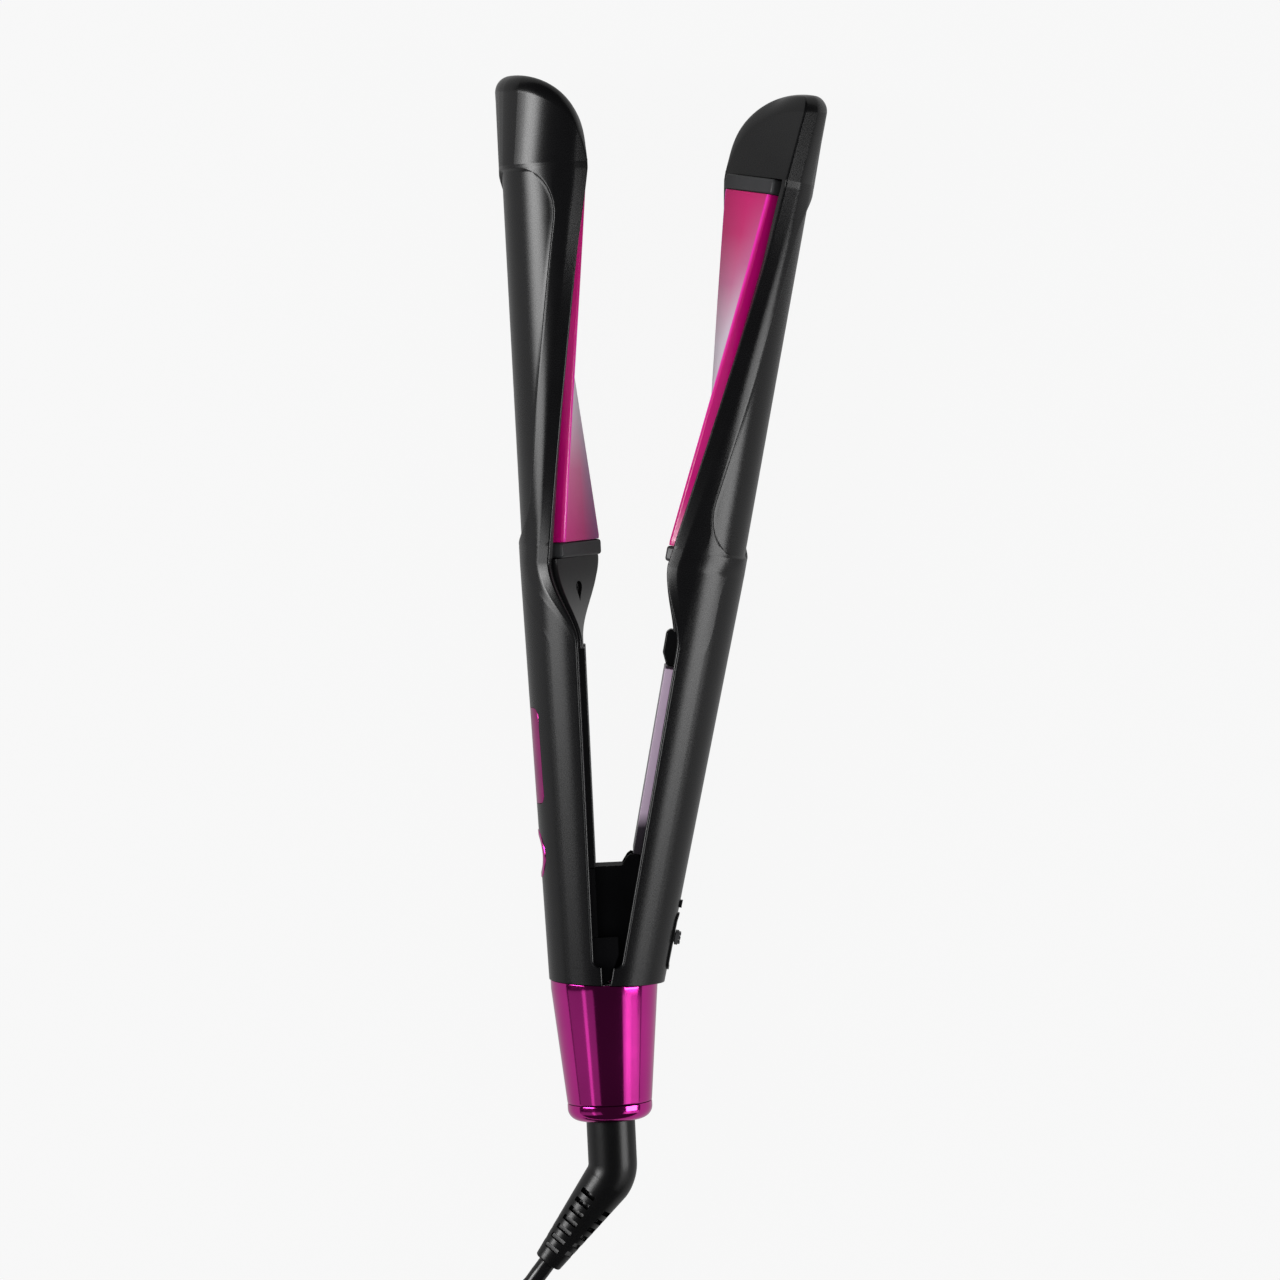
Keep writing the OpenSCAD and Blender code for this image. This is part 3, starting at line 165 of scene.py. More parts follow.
class Shade:
    """Node tree of one material, with the few nodes that the iron's finishes share."""

    def __init__(self, name: str) -> None:
        """Starts a material with a principled shader and object coordinates.

        Args:
            name: the material's name.
        """
        self.material = bpy.data.materials.new(name)
        self.material.use_nodes = True
        self.tree = self.material.node_tree
        self.tree.nodes.clear()
        self.shader = self.node("ShaderNodeBsdfPrincipled")
        self.out = self.node("ShaderNodeOutputMaterial").inputs["Surface"]
        self.join(self.shader.outputs[0], self.out)
        self.coords = self.node("ShaderNodeTexCoord").outputs["Object"]

    def node(self, kind: str, **settings: object) -> bpy.types.Node:
        """Adds a node and sets its properties.

        Args:
            kind: the node's type.
            settings: its properties by name.

        Returns:
            The node.
        """
        made = self.tree.nodes.new(kind)
        for key, value in settings.items():
            setattr(made, key, value)
        return made

    def join(self, source: bpy.types.NodeSocket, target: bpy.types.NodeSocket) -> None:
        """Links one socket to another.

        Args:
            source: the socket that gives the value.
            target: the socket that takes it.
        """
        self.tree.links.new(source, target)

    def set(self, **sockets: object) -> None:
        """Sets the shader's own sockets, named with underscores for spaces."""
        for key, value in sockets.items():
            self.shader.inputs[key.replace("_", " ")].default_value = value

    def feed(self, source: bpy.types.NodeSocket, socket: str) -> None:
        """Links a pattern into one of the shader's sockets."""
        self.join(source, self.shader.inputs[socket])

    def noise(self, grain: float, detail: float = 2.0, stretch: Triple = (1, 1, 1),
              coords: bpy.types.NodeSocket | None = None) -> bpy.types.NodeSocket:
        """Noise pattern.

        Args:
            grain: size of its spots, in millimetres.
            detail: how many finer layers it has.
            stretch: its scale along X, Y and Z.
            coords: where it reads its place; the object's own coordinates by default.

        Returns:
            The pattern's value, about 0.5 on average.
        """
        mapping = self.node("ShaderNodeMapping")
        mapping.inputs["Scale"].default_value = stretch
        self.join(coords or self.coords, mapping.inputs["Vector"])
        made = self.node("ShaderNodeTexNoise")
        made.inputs["Scale"].default_value = 1 / (grain * MM)
        made.inputs["Detail"].default_value = detail
        self.join(mapping.outputs[0], made.inputs["Vector"])
        return made.outputs["Fac"]

    def ramp(self, source: bpy.types.NodeSocket,
             *stops: tuple[float, Triple]) -> bpy.types.NodeSocket:
        """Colour that follows a value through the stops.

        Args:
            source: the value.
            stops: places from 0 to 1 in order, each with its colour.

        Returns:
            The colour.
        """
        made = self.node("ShaderNodeValToRGB")
        band = made.color_ramp
        for element, (place, colour) in zip(band.elements, (stops[0], stops[-1])):
            element.position = place
            element.color = (*colour, 1)
        for place, colour in stops[1:-1]:
            band.elements.new(place).color = (*colour, 1)
        self.join(source, made.inputs["Fac"])
        return made.outputs["Color"]

    def remap(self, source: bpy.types.NodeSocket, low: float, high: float,
              start: float = 0.3, end: float = 0.7) -> bpy.types.NodeSocket:
        """Stretches a value to another range, and holds it there.

        Args:
            source: the value.
            low: the result at the start.
            high: the result at the end.
            start: the value where the change begins.
            end: the value where it is full.

        Returns:
            The new value.
        """
        made = self.node("ShaderNodeMapRange")
        names = ("From Min", "From Max", "To Min", "To Max")
        for key, value in zip(names, (start, end, low, high)):
            made.inputs[key].default_value = value
        self.join(source, made.inputs["Value"])
        return made.outputs["Result"]

    def blend(self, share: bpy.types.NodeSocket, first: bpy.types.NodeSocket,
              second: bpy.types.NodeSocket) -> bpy.types.NodeSocket:
        """Mixes two colours.

        Args:
            share: 0 for the first colour, 1 for the second.
            first: a colour.
            second: another colour.

        Returns:
            The mixed colour.
        """
        made = self.node("ShaderNodeMix", data_type="RGBA")
        self.join(share, made.inputs["Factor"])
        self.join(first, made.inputs[6])
        self.join(second, made.inputs[7])
        return made.outputs[2]

    def bump(self, height: bpy.types.NodeSocket, depth: float) -> None:
        """Raises the surface by a pattern.

        Args:
            height: the pattern.
            depth: the height of its full swing, in millimetres.
        """
        made = self.node("ShaderNodeBump")
        made.inputs["Strength"].default_value = 1.0
        made.inputs["Distance"].default_value = depth * MM
        self.join(height, made.inputs["Height"])
        self.feed(made.outputs["Normal"], "Normal")

    def attribute(self, name: str) -> bpy.types.NodeSocket:
        """Value that the mesh stores at its points."""
        return self.node("ShaderNodeAttribute", attribute_name=name).outputs["Fac"]


@dataclass(frozen=True)
class Finish:
    """A surface finish with a slight unevenness in colour and gloss.

    Attributes:
        name: the material's name.
        slot: the record's material slot.
        colour: its mean colour, or the one at the far end where it changes along the piece.
        roughness: its mean roughness.
        spots: size of the uneven spots, in millimetres.
        grain: size of the surface grain, in millimetres.
        depth: depth of the grain, in millimetres.
        metallic: 1 for bare metal.
        coat: strength of a clear coat.
        stretch: how the grain is drawn out along X, Y and Z.
        ior: refractive index; a low one keeps its edges dark.
    """

    name: str
    slot: str
    colour: Triple
    roughness: float
    spots: float = 9.0
    grain: float = 0.25
    depth: float = 0.006
    metallic: float = 0.0
    coat: float = 0.0
    stretch: Triple = (1, 1, 1)
    ior: float = 1.45

    def material(self) -> bpy.types.Material:
        """The material, made once."""
        return bpy.data.materials.get(self.name) or self.make()

    def make(self) -> bpy.types.Material:
        """Builds the material."""
        shade = Shade(self.name)
        shade.set(Metallic=self.metallic, Coat_Weight=self.coat, Coat_Roughness=0.05, IOR=self.ior)
        self.paint(shade)
        fine = shade.noise(self.grain, 3, self.stretch)
        shade.feed(shade.remap(fine, self.roughness * 0.88, self.roughness * 1.12), "Roughness")
        shade.bump(fine, self.depth)
        return shade.material

    def paint(self, shade: Shade) -> None:
        """Feeds the base colour."""
        darker = tuple(c * 0.86 for c in self.colour)
        lighter = tuple(min(1.0, c * 1.14) for c in self.colour)
        uneven = shade.noise(self.spots, 3)
        shade.feed(shade.ramp(uneven, (0.3, darker), (0.7, lighter)), "Base Color")


@dataclass(frozen=True)
class PlateFinish(Finish):
    """Plate coating: magenta at both ends of the plate, with a painted pale lavender reflection in
    its middle and a painted highlight along its rounded edges.

    Attributes:
        highlight_from: where the painted highlight on the rounded edge begins and is full, as shares
            of the half width.
        side_from: the same for the plain colour of the long sides.
    """

    highlight_from: Point = (0.87, 0.92)
    side_from: Point = (0.94, 0.985)

    def paint(self, shade: Shade) -> None:
        """Feeds a colour that runs along the plate's face, with a painted reflection in its middle, a
        painted highlight on the rounded edge and plain long sides.
        """
        along = shade.attribute("along")
        across = shade.attribute("across")
        # painted reflection: the face's magenta turns pale lavender in the middle of the plate
        magenta_and_painted_reflection = shade.ramp(along, (0.0, (0.66, 0.02, 0.24)), (0.2, (0.74, 0.10, 0.34)),
                           (0.4, (0.88, 0.68, 0.87)), (0.56, (0.88, 0.76, 0.90)),
                           (0.74, (0.68, 0.17, 0.37)), (0.88, (0.64, 0.02, 0.18)),
                           (1.0, self.colour))
        # painted reflection: the same pale middle, on a violet tint towards one long edge that is
        # darkest at the plate's low end
        violet = shade.ramp(along, (0.0, (0.30, 0.08, 0.32)), (0.2, (0.48, 0.26, 0.54)),
                            (0.4, (0.84, 0.72, 0.88)), (0.6, (0.88, 0.76, 0.90)),
                            (0.8, (0.62, 0.15, 0.35)), (1.0, (0.55, 0.012, 0.155)))
        face = shade.blend(shade.remap(across, 1, 0, -1.0, -0.1), magenta_and_painted_reflection, violet)
        side = calculate(shade.tree, "ABSOLUTE", across)
        uneven = shade.noise(self.spots, 3)
        # painted highlight: a brighter magenta along the plate's rounded edges
        edge = shade.ramp(uneven, (0.3, (0.90, 0.03, 0.46)), (0.7, (0.94, 0.04, 0.50)))
        plain = shade.ramp(uneven, (0.3, (0.56, 0.003, 0.18)), (0.7, (0.62, 0.004, 0.20)))
        face = shade.blend(shade.remap(side, 0, 1, *self.highlight_from), face, edge)
        shade.feed(shade.blend(shade.remap(side, 0, 1, *self.side_from), face, plain), "Base Color")


@dataclass(frozen=True)
class FadeFinish(Finish):
    """Mauve cover that fades to black towards the throat."""

    def paint(self, shade: Shade) -> None:
        """Feeds a colour that follows the stored share along the cover."""
        along = shade.attribute("along")
        shade.feed(shade.ramp(along, (0.0, (0.012, 0.010, 0.013)), (0.15, (0.02, 0.015, 0.022)),
                              (0.23, (0.44, 0.34, 0.45)), (1.0, self.colour)), "Base Color")


BLACK = (0.004, 0.004, 0.0045)
SATIN = Finish("satin_black", "black_satin", BLACK, 0.27, grain=0.2, depth=0.0008, ior=1.42)
THROAT = Finish("matte_black", "black_moulding", (0.003, 0.003, 0.0035), 0.55, depth=0.003, ior=1.2)
MOULDING = Finish("moulded_black", "black_moulding", BLACK, 0.34, depth=0.002, ior=1.36)
BAR = Finish("bar_moulding", "black_moulding", (0.04, 0.041, 0.043), 0.33, depth=0.003, ior=1.36)
MAUVE = FadeFinish("faded_mauve", "mauve_cover", (0.48, 0.37, 0.49), 0.30, depth=0.002)
PLATE = PlateFinish("plate_coating", "magenta_plate", (0.62, 0.008, 0.16), 0.2, grain=0.09,
                    depth=0.0006)
CHROME = Finish("tinted_chrome", "magenta_chrome", (0.72, 0.03, 0.38), 0.12, spots=30, grain=6,
                depth=0.004, metallic=1.0, coat=0.3)
BLACKENED = Finish("blackened_steel", "spring_steel", (0.03, 0.03, 0.032), 0.4, metallic=0.6)
BUTTON = Finish("purple_gloss", "magenta_button", (0.36, 0.02, 0.24), 0.16, depth=0.001, coat=1.0)
WINDOW = Finish("window_tint", "violet_window", (0.46, 0.03, 0.24), 0.22, depth=0.0005,
                metallic=1.0)
KNOB = Finish("grey_grip", "grey_button", (0.045, 0.045, 0.048), 0.42, depth=0.003)
CERAMIC = Finish("pale_ceramic", "grey_ceramic", (0.48, 0.48, 0.47), 0.7, depth=0.012)
BOARD = Finish("board_lacquer", "green_board", (0.03, 0.16, 0.07), 0.3, spots=2, depth=0.004)
STEEL = Finish("drawn_steel", "spring_steel", (0.56, 0.57, 0.59), 0.28, grain=0.12, depth=0.002,
               metallic=1.0, stretch=(1, 0.1, 1))
NICKEL = Finish("nickel_plate", "nickel_pins", (0.72, 0.71, 0.67), 0.16, depth=0.001, metallic=1.0)
RUBBER = Finish("soft_rubber", "black_rubber", (0.003, 0.003, 0.0033), 0.32, grain=0.3, depth=0.003,
                ior=1.4)
SHEATH = Finish("cord_sheath", "black_rubber", BLACK, 0.24, grain=0.6, depth=0.003)


# ---------- making solids ----------


class Solid:
    """A closed mesh in the making."""

    def __init__(self) -> None:
        """Starts an empty mesh with the marks that finishes read."""
        self.bm = bmesh.new()
        self.order = self.bm.verts.layers.int.new("order")
        self.along = self.bm.verts.layers.float.new("along")
        self.across = self.bm.verts.layers.float.new("across")

    def loft(self, rings: Sequence[Sequence[Vector]]) -> "Solid":
        """Extrudes a closed outline ring by ring, each new ring moved to its own points.

        Args:
            rings: the outlines in order, all with as many points. The first and last are filled.

        Returns:
            The solid itself.
        """
        row = [self.bm.verts.new(p) for p in rings[0]]
        for k, vert in enumerate(row):
            vert[self.order] = k
        edges = [self.bm.edges.new(pair) for pair in zip(row, row[1:] + row[:1])]
        ends = [edges]
        for n, ring in enumerate(rings[1:], 1):
            grown = bmesh.ops.extrude_edge_only(self.bm, edges=edges)["geom"]
            fresh = {g for g in grown if isinstance(g, bmesh.types.BMVert)}
            for vert in fresh:
                vert.co = ring[vert[self.order]]
                vert[self.along] = n / (len(rings) - 1)
            edges = [g for g in grown
                     if isinstance(g, bmesh.types.BMEdge) and set(g.verts) <= fresh]
        ends.append(edges)
        for loop in ends:
            bmesh.ops.triangle_fill(self.bm, use_beauty=True, edges=loop)
        return self

    def turn(self, profile: Sequence[Point], steps: int = 96) -> "Solid":
        """Spins a closed outline about the Y axis.

        Args:
            profile: the outline as (radius, y) points.
            steps: stations of the whole turn.

        Returns:
            The solid itself.
        """
        row = [self.bm.verts.new((r, y, 0)) for r, y in profile]
        edges = [self.bm.edges.new(pair) for pair in zip(row, row[1:] + row[:1])]
        bmesh.ops.spin(self.bm, geom=row + edges, cent=(0, 0, 0), axis=(0, 1, 0),
                       angle=2 * math.pi, steps=steps, use_merge=True)
        bmesh.ops.remove_doubles(self.bm, verts=self.bm.verts, dist=1e-5)
        bmesh.ops.dissolve_degenerate(self.bm, edges=self.bm.edges, dist=1e-6)
        return self

    def block(self, low: Vector, high: Vector, corner: float = 0.0, edge: float = 0.0) -> "Solid":
        """Adds a box with rounded corners in the YZ plane and softened edges.

        Args:
            low: its lowest corner.
            high: its highest corner.
            corner: radius of the four edges that run along X.
            edge: radius of all the other edges.

        Returns:
            The solid itself.
        """
        made = bmesh.ops.create_cube(self.bm, size=1)["verts"]
        bmesh.ops.scale(self.bm, vec=high - low, verts=made)
        bmesh.ops.translate(self.bm, vec=(high + low) / 2, verts=made)
        faces = {f for v in made for f in v.link_faces}
        if corner:
            runs = {e for f in faces for e in f.edges
                    if abs(e.verts[0].co.x - e.verts[1].co.x) > 1e-6}
            faces |= set(self.soften(runs, corner, 8))
        if edge:
            faces = {f for f in faces if f.is_valid}
            rims = {e for f in faces for e in f.edges if e.is_valid
                    and e.calc_face_angle(0) > math.radians(50)}
            self.soften(rims, edge, 3)
        return self

    def soften(self, edges: Iterable[bmesh.types.BMEdge], radius: float, steps: int) -> list:
        """Rounds some edges.

        Args:
            edges: the edges.
            radius: their radius.
            steps: faces across each.

        Returns:
            The new faces.
        """
        return bmesh.ops.bevel(self.bm, geom=list(edges), offset=radius, offset_type="OFFSET",
                               segments=steps, profile=0.5, affect="EDGES", material=-1,
                               clamp_overlap=True)["faces"]

    def slice(self, axis: int, low: float, high: float, count: int) -> "Solid":
        """Cuts the mesh by evenly spaced planes, so that it can be bent smoothly.

        Args:
            axis: the axis that the planes are square to, from 0.
            low: where they start.
            high: where they end.
            count: the number of spaces between them.

        Returns:
            The solid itself.
        """
        normal = Vector([float(i == axis) for i in range(3)])
        for place in spread(low, high, count)[1:-1]:
            geom = [*self.bm.verts, *self.bm.edges, *self.bm.faces]
            bmesh.ops.bisect_plane(self.bm, geom=geom, plane_co=normal * place, plane_no=normal)
        return self

    def trim(self, spot: Vector, way: Vector, edge: float) -> "Solid":
        """Cuts off what lies on the far side of a plane, closes the cut and rounds its edges.

        Args:
            spot: a point of the plane.
            way: the plane's normal, towards what is cut off.
            edge: radius of the rounded edges.

        Returns:
            The solid itself.
        """
        geom = [*self.bm.verts, *self.bm.edges, *self.bm.faces]
        cut_at = bmesh.ops.bisect_plane(self.bm, geom=geom, plane_co=spot, plane_no=way,
                                        clear_outer=True)["geom_cut"]
        edges = [g for g in cut_at if isinstance(g, bmesh.types.BMEdge)]
        bmesh.ops.triangle_fill(self.bm, use_beauty=True, edges=edges)
        bmesh.ops.recalc_face_normals(self.bm, faces=self.bm.faces)
        self.soften([e for e in edges if e.is_valid and len(e.link_faces) == 2], edge, 3)
        return self

    def bend(self, move: Callable[[Vector], Vector]) -> "Solid":
        """Moves every point.

        Args:
            move: gives the new place of a point.

        Returns:
            The solid itself.
        """
        for vert in self.bm.verts:
            vert.co = move(vert.co)
        return self

    def transform(self, matrix: Matrix) -> "Solid":
        """Moves the whole mesh.

        Args:
            matrix: the move.

        Returns:
            The solid itself.
        """
        bmesh.ops.transform(self.bm, matrix=matrix, verts=self.bm.verts)
        return self

    def to_object(self, name: str, pose: Matrix) -> bpy.types.Object:
        """Ends the mesh: puts it in its place, turns its faces outwards and links its object.

        Args:
            name: the object's name.
            pose: carries the mesh to its place.

        Returns:
            The object, at the origin.
        """
        self.transform(pose)
        bmesh.ops.recalc_face_normals(self.bm, faces=self.bm.faces)
        mesh = bpy.data.meshes.new(name)
        self.bm.to_mesh(mesh)
        self.bm.free()
        return place(name, mesh)

    def to_piece(self, name: str, pose: Matrix, body: str, finish: Finish, node: str = "",
                 angle: float = 38.0) -> bpy.types.Object:
        """Ends the mesh as a smoothed and dressed piece.

        Args:
            name: the piece's name.
            pose: carries it to its place.
            body: the body that it rides on.
            finish: its finish.
            node: the node that it stands for, if it has one.
            angle: edges sharper than this, in degrees, stay sharp.

        Returns:
            The piece.
        """
        piece = self.to_object(name, pose)
        smooth(piece, angle)
        return dress(piece, body, finish, [node] if node else [])


def place(name: str, data: bpy.types.ID) -> bpy.types.Object:
    """Puts a mesh, curve, lamp or camera into the scene.

    Args:
        name: the object's name.
        data: its mesh, curve, lamp or camera.

    Returns:
        The object.
    """
    made = bpy.data.objects.new(name, data)
    bpy.context.scene.collection.objects.link(made)
    return made


def apply_modifiers(piece: bpy.types.Object) -> None:
    """Makes the piece's modifiers part of its mesh.

    Args:
        piece: the piece.
    """
    graph = bpy.context.evaluated_depsgraph_get()
    mesh = bpy.data.meshes.new_from_object(piece.evaluated_get(graph), depsgraph=graph)
    piece.modifiers.clear()
    old = piece.data
    piece.data = mesh
    mesh.name = piece.name
    bpy.data.meshes.remove(old)


def combine(piece: bpy.types.Object, others: Sequence[bpy.types.Object],
            operation: str = "DIFFERENCE") -> None:
    """Takes other meshes out of a piece, or joins them with it, and removes them.

    Args:
        piece: the piece that stays.
        others: the meshes that it is combined with.
        operation: DIFFERENCE to cut them out, UNION to join them.
    """
    for other in others:
        modifier = piece.modifiers.new("combine", "BOOLEAN")
        modifier.object = other
        modifier.operation = operation
        modifier.solver = "EXACT"
    apply_modifiers(piece)
    for other in others:
        bpy.data.objects.remove(other)


def smooth(piece: bpy.types.Object, angle: float = 38.0, bevel: float = 0.0) -> None:
    """Rounds a piece's sharp edges and shades it smoothly.

    Args:
        piece: the finished mesh.
        angle: edges sharper than this, in degrees, stay sharp.
        bevel: radius of the rounded edges, in millimetres, or 0 for none.
    """
    if bevel:
        modifier = piece.modifiers.new("edges", "BEVEL")
        modifier.width = bevel * MM
        modifier.segments = 3
        modifier.limit_method = "ANGLE"
        modifier.angle_limit = math.radians(32)
        modifier.use_clamp_overlap = True
        apply_modifiers(piece)
    piece.data.shade_smooth()
    piece.data.set_sharp_from_angle(angle=math.radians(angle))
    modifier = piece.modifiers.new("normals", "WEIGHTED_NORMAL")
    modifier.keep_sharp = True
    apply_modifiers(piece)


def dress(piece: bpy.types.Object, body: str, finish: Finish,
          nodes: Sequence[str]) -> bpy.types.Object:
    """Gives a piece its finish, its body and the nodes that it stands for.

    Args:
        piece: the finished mesh.
        body: the body that it rides on.
        finish: its finish.
        nodes: the nodes that it stands for; none for an added piece.

    Returns:
        The piece.
    """
    piece.data.materials.clear()
    piece.data.materials.append(finish.material())
    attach(piece, body)
    if nodes:
        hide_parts(*nodes)
    LOG.info("%s rides on %s in %s", piece.name, body, finish.name)
    return piece


def soft_copy(node: str, name: str, bevel: float) -> bpy.types.Object:
    """Copy of a CAD node with its flat faces joined and its edges rounded.

    Args:
        node: the node.
        name: the copy's name.
        bevel: radius of its rounded edges, in millimetres.

    Returns:
        The copy.
    """
    solid = Solid()
    solid.bm.from_mesh(frame["nodes"][node].data)
    bmesh.ops.remove_doubles(solid.bm, verts=solid.bm.verts, dist=2e-6)
    bmesh.ops.dissolve_limit(solid.bm, angle_limit=math.radians(0.6), verts=solid.bm.verts,
                             edges=solid.bm.edges)
    made = solid.to_object(name, Matrix.Identity(4))
    smooth(made, bevel=bevel)
    return made


def dressed_copy(node: str, name: str, body: str, finish: Finish,
                 bevel: float = 0.0) -> bpy.types.Object:
    """Soft copy of a CAD node, with its finish.

    Args:
        node: the node.
        name: the copy's name.
        body: the body that it rides on.
        finish: its finish.
        bevel: radius of its rounded edges, in millimetres.

    Returns:
        The copy.
    """
    return dress(soft_copy(node, name, bevel), body, finish, [node])


# ---------- lines of the arm ----------


@dataclass(frozen=True)
class ArmLines:
    """Lines that every piece of an arm follows. Stations are counted from the hinge pin."""

    tail_r: float = 15.4
    head_r: float = 18.1
    nose_r: float = 18.7
    wall: float = 2.2
    rim_gap: float = 2.5
    seam_gap: float = 0.3
    start: float = 5.2
    throat: float = 14.0
    bend_start: float = 103.0
    bend_end: float = 126.0
    twist_low: float = 25.0
    twist_top: float = 31.0
    plate_twist_low: float = 28.0
    plate_twist_top: float = 35.0
    head_rim: float = 16.5
    ridge: float = 25.0
    ridge_over_rim: float = 3.0
    twist_short: float = 2.0
    band_angle: float = 35.0
    band_shut: float = 80.0
    band_depth: float = 0.85
    band_slope: float = 1.2
    band_start: float = 130.5
    band_end: float = 236.4
    band_round: float = 15.0
    head_rim_gap: float = 3.1
    nose_gap: float = 2.2
    rim_rise: float = 28.0
    nose_start: float = 237.2
    nose_len: float = 25.0
    nose_tip: float = 14.0
    nose_fall: float = 20.4
    nose_round: float = 4.5
    nose_twist: float = 0.45
    nose_crown: float = 1.2
    crown_half: float = 15.0
    nose_least: float = 0.4
    nose_heart: Point = (-2.0, 8.0)
    mouth_s: float = 6.7
    mouth_tilt: float = 3.9
    plate_start: float = 131.3
    plate_len: float = 101.2

    def radius(self, s: float) -> float:
        """Radius of the closed barrel.

        Args:
            s: the station.

        Returns:
            The radius over the back.
        """
        if s < self.bend_end:
            return mix(self.tail_r, self.head_r, (s - self.start) / (self.bend_end - self.start))
        share = (s - self.bend_end) / (self.nose_start - self.bend_end)
        return mix(self.head_r, self.nose_r, unit(share))

    def head_part(self, s: float) -> float:
        """0 on the grip, 1 on the head."""
        return ease((s - self.bend_start) / (self.bend_end - self.bend_start))

    def twist(self, s: float) -> float:
        """Turn of the shell about the arm's line, in degrees.

        Args:
            s: the station.

        Returns:
            The angle.
        """
        if s < self.bend_end:
            return self.twist_low * self.head_part(s)
        return mix(self.twist_low, -self.twist_top,
                   unit((s - self.bend_end) / (self.nose_start - self.twist_short - self.bend_end)))

    def plate_twist(self, s: float) -> float:
        """Turn of the plate about the arm's line, in degrees."""
        share = (s - self.plate_start) / self.plate_len
        return mix(self.plate_twist_low, -self.plate_twist_top, share)

    def rim_depth(self, s: float) -> float:
        """Distance of the shell's rim from the split face.

        Args:
            s: the station.

        Returns:
            The distance, small below the throat and larger above it.
        """
        corner = self.rim_gap - self.seam_gap
        if s <= self.throat - corner:
            return self.seam_gap
        if s >= self.throat:
            return mix(mix(self.rim_gap, self.head_rim_gap, self.head_part(s)), self.nose_gap,
                       ease((s - self.nose_start + self.rim_rise) / self.rim_rise))
        return self.seam_gap + math.sqrt(corner ** 2 - (self.throat - s) ** 2)

    def rim_half(self, s: float) -> float:
        """Half width of the arm over its rims."""
        chord = math.sqrt(self.radius(s) ** 2 - self.rim_depth(s) ** 2)
        return mix(chord, self.head_rim, self.head_part(s))

    def ridge_at(self, s: float) -> float:
        """Angle of the flank ridge from the split face."""
        edge = math.degrees(math.asin(self.rim_depth(s) / self.radius(s)))
        return mix(edge + self.ridge_over_rim, self.ridge, self.head_part(s))

    def band_edge(self, s: float) -> float:
        """How far a station lies inside the sunk band."""
        return min(s - self.band_start, self.band_end - s)

    def band_at(self, s: float) -> float:
        """Angle of the sunk band's border from the split face.

        Args:
            s: the station.

        Returns:
            The angle in degrees, smaller where the band is wider.
        """
        inside = self.band_edge(s)
        if inside < 0 and s < self.band_end:
            reach = self.band_start - self.bend_start
            return mix(self.band_angle, self.band_shut, unit((s - self.bend_start) / reach))
        t = unit((self.band_round - inside) / self.band_round)
        return mix(self.band_shut, self.band_angle, math.sqrt(max(0.0, 1 - t * t)))

    def band_sink(self, s: float) -> float:
        """Depth of the sunk band."""
        return self.band_depth * ease(self.band_edge(s) / self.band_slope)

    def nose_reach(self, place: Vector) -> float:
        """Length of the nose over a place of its section: it falls away from its tip in an arc."""
        away = max(0.0, min(0.995, (place.x + self.nose_tip) / self.nose_fall))
        drop = self.nose_crown * (place.z / self.crown_half) ** 2
        return max(self.nose_least, self.nose_len * math.sqrt(1 - away ** 2) - drop)

    def nose_point(self, u: float, v: float, turned: float, share: float) -> Vector:
        """Place on the nose's end.

        Args:
            u: place of the section's point along the split face.
            v: its depth behind the split face.
            turned: how far the end's rounded edge has turned, in degrees.
            share: distance from the nose's middle, 1 at its edge.

        Returns:
            The point, drawn on the fixed arm.
        """
        a = math.radians(turned)
        heart = Vector(self.nose_heart)
        out = Vector((u, v)) - heart
        spot = heart + share * (1 - self.nose_round / out.length * (1 - math.cos(a))) * out
        reach = self.nose_reach(self.set_out(spot.x, spot.y, 0, -self.twist_top))
        up = reach - min(self.nose_round, 0.8 * reach) * (1 - math.sin(a))
        turn = -self.twist_top - self.nose_twist * up
        return self.set_out(spot.x, spot.y, self.nose_start + up, turn)

    def set_out(self, u: float, v: float, s: float, turn: float) -> Vector:
        """Place of a section point: u along the split face, v behind it, turned in degrees."""
        a = math.radians(turn)
        return Vector((-v * math.cos(a) - u * math.sin(a), s, -v * math.sin(a) + u * math.cos(a)))

    def on_barrel(self, height: float, s: float, z: float) -> Vector:
        """Place at a height over the barrel's surface, straight behind z."""
        return Vector((-math.sqrt(max(0.0, (self.radius(s) + height) ** 2 - z * z)), s, z))

    def wrap(self, p: Vector) -> Vector:
        """Bends a point of a flat piece round the barrel, its x being the height over it."""
        return self.on_barrel(p.x, p.y, p.z)


LINES = ArmLines()
CUT_FROM = 8.0      # depth inside an arm at which a cutter of its shell starts
CUT_TO = 30.0       # and where it ends, beyond the shell


def mouth_plane(above: float) -> Matrix:
    """Frame whose XZ plane is the seam between the cone and the grips, or lies above it."""
    return Matrix.Translation((0, LINES.mouth_s + above, 0)) \
        @ Matrix.Rotation(-math.radians(LINES.mouth_tilt), 4, "Z")


# ---------- arms ----------


